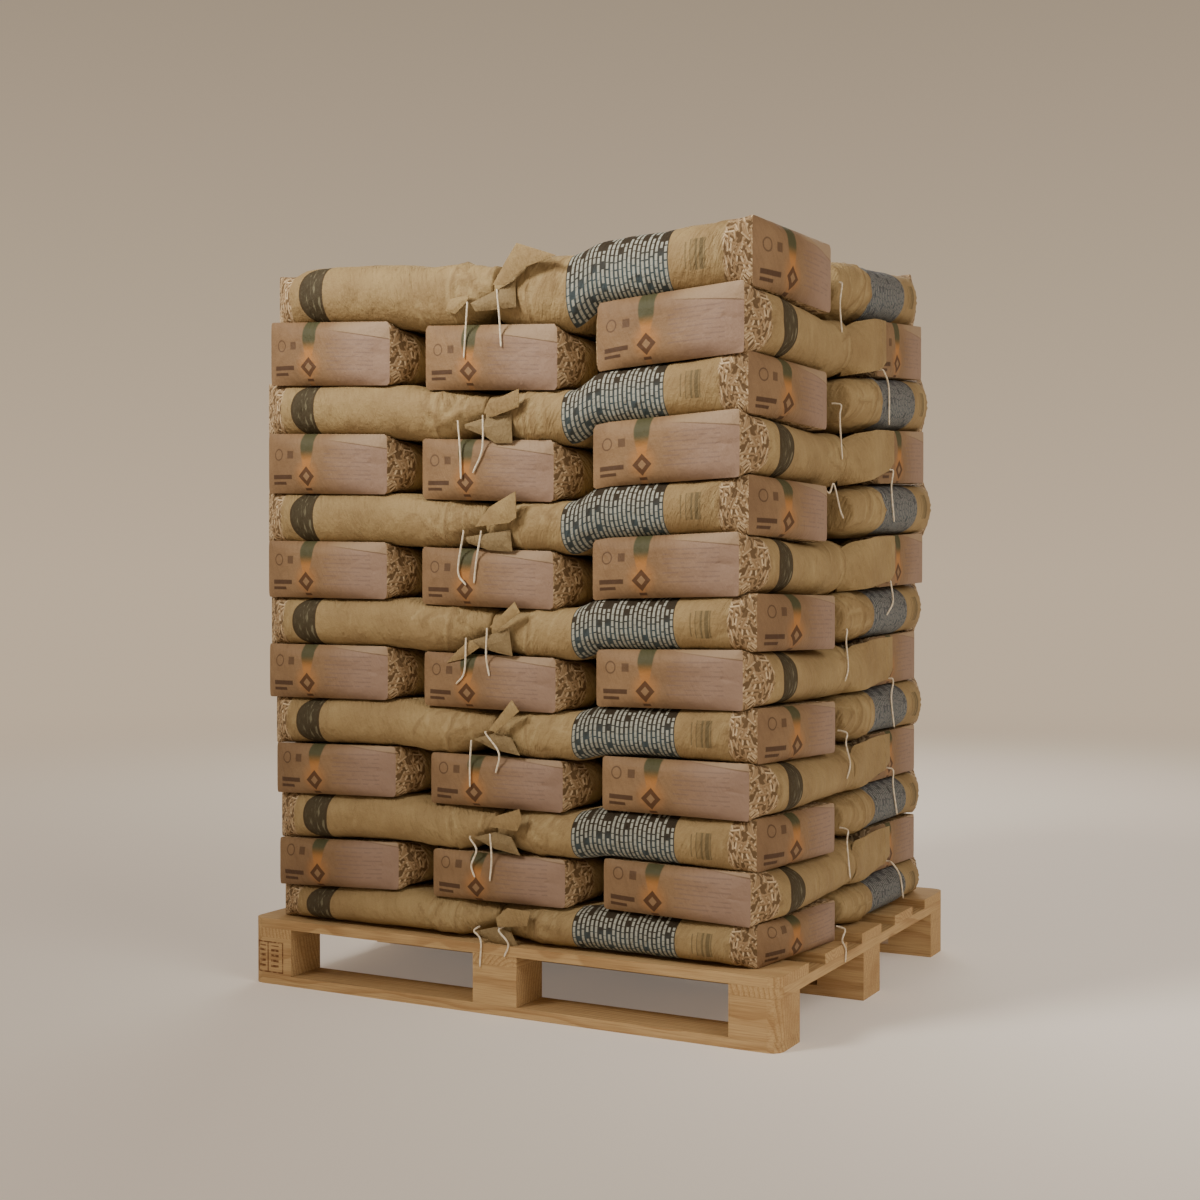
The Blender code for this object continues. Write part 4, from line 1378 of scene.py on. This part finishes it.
def side_flap(layer, side, materials):
    """The top of a side sack: its round end runs out into a flat folded panel."""
    base = layer_bottom(layer)
    height = layer_bottom(layer + 1) - base
    front_shift, front_spread, back_shift, back_spread, _ = LAYER_OFFSETS[layer - 1]
    hang, places = next((hang, places) for which, hang, _, places in RIGHT_THREADS
                        if which == layer)
    roll = side * front_shift + SACK_PITCH + front_spread + FULL_HALF_WIDTH
    flat = side * back_shift + PAIR_REACH + back_spread + SLIGHT_BULGE + PANEL_CLEARANCE
    if side > 0:
        flat = max(flat, hang - BEHIND_THREAD - PANEL_CROWN - PANEL_RIDGE - FLAP_THICKNESS)
    right = PANEL_RIGHT[layer]
    foot = settled(np.array([[side * roll, right, base]]))[0, 2] - base
    edge = max(places[0][1] - foot, PANEL_LOWEST_EDGE)
    outline = ((PANEL_LEFT, 0.014), (PANEL_LEFT + 0.004, height - 0.018), (0.004, height - 0.005),
               (0.055, height), (right - 0.002, height - 0.002), (right, edge + 0.016),
               (right - 0.030, edge), (PANEL_LEFT + 0.030, 0.001))

    def on_side(place, up, out):
        level = abs(2 * up / height - 1)
        inward = 1 - max(0.0, 1 - level ** BODY_SQUARENESS) ** (1 / BODY_SQUARENESS)
        round_x = roll - PANEL_CLEARANCE - FULL_SIDE_DEPTH * inward
        share = min(1.0, max(0.0, (place - PANEL_LEFT) / (PANEL_FLAT_FROM - PANEL_LEFT)))
        ridge = PANEL_RIDGE * math.exp(-abs(place - right + PANEL_RIDGE_INSET)
                                       / PANEL_RIDGE_WIDTH)
        x = round_x + (flat - round_x) * eased(share) + out + ridge
        return Vector(settled(np.array([[side * x, place, base + up]]))[0])

    return [flap_mesh(outline, on_side, PANEL_CROWN, materials)]


def flaps_of(lie, layer, materials):
    """The folded paper at the top of one sack. Inner and hidden tops have none."""
    has_pair_in_front = layer % 2 == 1
    if lie.name.endswith("front_left"):
        if has_pair_in_front:
            return seam_flaps(layer, STACK_FRONT, -1, materials)
        return side_flap(layer, -1, materials)
    if lie.name.endswith("front_right") and not has_pair_in_front:
        return side_flap(layer, 1, materials)
    if lie.name.endswith("back_left") and not has_pair_in_front:
        return seam_flaps(layer, STACK_BACK + LAYER_OFFSETS[layer - 1][4], 1, materials)
    return []


def join_flaps(sack, flaps):
    """Make the folded paper part of its sack's own mesh."""
    with bpy.context.temp_override(active_object=sack, selected_editable_objects=[sack, *flaps]):
        bpy.ops.object.join()


def add_sacks(materials):
    """The 65 sacks, each with its folded paper joined to it."""
    for layer in range(1, LAYERS + 1):
        low = layer_bottom(layer) + SEAT_GAP
        high = layer_bottom(layer + 1)
        for number, lie in enumerate(sacks_of_layer(layer)):
            dip = TOP_END_DIP if layer == LAYERS and lie.facing == FACING_RIGHT else 0.0
            points, *rest = sack_arrays(lie, layer * 5 + number, layer == LAYERS, low, high,
                                        lie.flare if layer > 1 else 0.0, dip)
            cosine, sine = math.cos(lie.facing), math.sin(lie.facing)
            x = lie.place[0] + points[:, 0] * cosine - points[:, 1] * sine
            y = lie.place[1] + points[:, 0] * sine + points[:, 1] * cosine
            world = settled(np.stack([x, y, points[:, 2]], axis=1))
            sack = build_object(lie.name, world, *rest, materials)
            flaps = flaps_of(lie, layer, materials)
            if flaps:
                join_flaps(sack, flaps)
            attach(sack, "root")
            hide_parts(f"sack_layer_{layer:02d}")


# Thread ends

THREAD_LIGHT = colour(238, 228, 208)
THREAD_DARK = colour(214, 198, 170)
THREAD_TIP_RINGS = 4
THREAD_TIP_TAPER = 0.45
THREAD_SIDEWAYS = Vector((0.31, 0.17, 0.93))


def smooth_route(route):
    """Evenly spaced points on a smooth curve through a route's own points."""
    points = [route[0] * 2 - route[1], *route, route[-1] * 2 - route[-2]]
    fine = []
    for before, start, end, after in zip(points, points[1:], points[2:], points[3:]):
        for step in range(ROUTE_STEPS):
            t = step / ROUTE_STEPS
            fine.append(0.5 * (2 * start + (end - before) * t
                               + (2 * before - 5 * start + 4 * end - after) * t ** 2
                               + (3 * start - before - 3 * end + after) * t ** 3))
    fine.append(route[-1])
    travelled = [0.0]
    for start, end in zip(fine, fine[1:]):
        travelled.append(travelled[-1] + (end - start).length)
    count = max(2, round(travelled[-1] / THREAD_RINGS_APART))
    spaced = []
    for number in range(count + 1):
        wanted = travelled[-1] * number / count
        index = max(i for i, length in enumerate(travelled[:-1]) if length <= wanted)
        share = (wanted - travelled[index]) / (travelled[index + 1] - travelled[index])
        spaced.append(fine[index].lerp(fine[index + 1], share))
    return spaced, travelled[-1]


def thread_route(layer, hang, tuck, places, on_front):
    """Out of the seam, then down. The thread hangs at a depth, and starts a tuck behind it."""
    base = layer_bottom(layer)
    first, z = places[0]
    route = [(first, hang + tuck, base + z + THREAD_RISE),
             (first, hang + tuck / 2, base + z + THREAD_RISE / 2),
             (first, hang, base + z - THREAD_DROP)]
    route += [(place, hang, base + z) for place, z in places[1:]]
    return [Vector((place, depth, z) if on_front else (depth, place, z))
            for place, depth, z in route]


def thread_paint():
    """Cotton with a fuzzy surface."""
    paint = Paint("cotton_thread")
    place = paint.object_place()
    fuzz = paint.noise(place, 900.0, 3.0, 0.7)
    shade = paint.noise(place, 160.0).ramp(0.3, 0.7)
    return paint.finish(paint.mix(shade, THREAD_LIGHT, THREAD_DARK), fuzz * 0.0006, 0.9, 0.15)


def thread_rings(points):
    """Rings of points round a route, shaped like twisted plies and tapered at the cut end."""
    last = len(points) - 1
    side = THREAD_SIDEWAYS.cross(points[1] - points[0]).normalized()
    rings = []
    for index, point in enumerate(points):
        ahead = points[min(index + 1, last)] - points[max(index - 1, 0)]
        ahead.normalize()
        side = (side - ahead * side.dot(ahead)).normalized()
        other = ahead.cross(side)
        turn = 2 * math.pi * index * THREAD_RINGS_APART / THREAD_TWIST
        near_tip = max(0.0, (index - len(points) + THREAD_TIP_RINGS) / THREAD_TIP_RINGS)
        for step in range(THREAD_RING_POINTS):
            angle = 2 * math.pi * step / THREAD_RING_POINTS
            lobe = 1 - THREAD_LOBE_SHARE * (1 - math.cos(THREAD_LOBES * (angle - turn))) / 2
            radius = THREAD_RADIUS * lobe * (1.0 - THREAD_TIP_TAPER * near_tip)
            rings.append(point + side * math.cos(angle) * radius
                         + other * math.sin(angle) * radius)
    return rings


def thread_faces(count):
    """The quads between a number of rings, and the two ends."""
    faces = []
    for a in range(0, (count - 1) * THREAD_RING_POINTS, THREAD_RING_POINTS):
        b = a + THREAD_RING_POINTS
        for step in range(THREAD_RING_POINTS):
            following = (step + 1) % THREAD_RING_POINTS
            faces.append((a + step, a + following, b + following, b + step))
    last = (count - 1) * THREAD_RING_POINTS
    faces.append(tuple(reversed(range(THREAD_RING_POINTS))))
    faces.append(tuple(range(last, last + THREAD_RING_POINTS)))
    return faces


def add_thread(node, route, material):
    """One loose end of sewing thread: three plies twisted together."""
    points, length = smooth_route(route)
    faces = thread_faces(len(points))
    mesh = bpy.data.meshes.new(f"{node}_twisted")
    mesh.from_pydata(thread_rings(points), [], faces)
    mesh.polygons.foreach_set("use_smooth", np.ones(len(faces), dtype=bool))
    mesh.materials.append(material)
    obj = add_object(f"{node}_twisted", mesh)
    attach(obj, "root")
    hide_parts(node)


def add_threads():
    """The loose ends of the front, and then those of the right hand side."""
    material = thread_paint()
    for layer, which, places in FRONT_THREADS:
        edge, tuck = (PALLET_FRONT, FRONT_TUCK_ON_DECK) if layer == 1 else (STACK_FRONT, 0.0)
        route = thread_route(layer, edge - THREAD_SEAT, tuck, places, on_front=True)
        add_thread(f"thread_front_{layer:02d}_{which}", route, material)
    for layer, hang, tuck, places in RIGHT_THREADS:
        route = thread_route(layer, hang, -tuck, places, on_front=False)
        add_thread(f"thread_right_{layer:02d}", route, material)


add_camera()
add_threads()
add_surround()
add_lamps()
add_floor()
paint_pallet()
add_sacks(sack_paints())
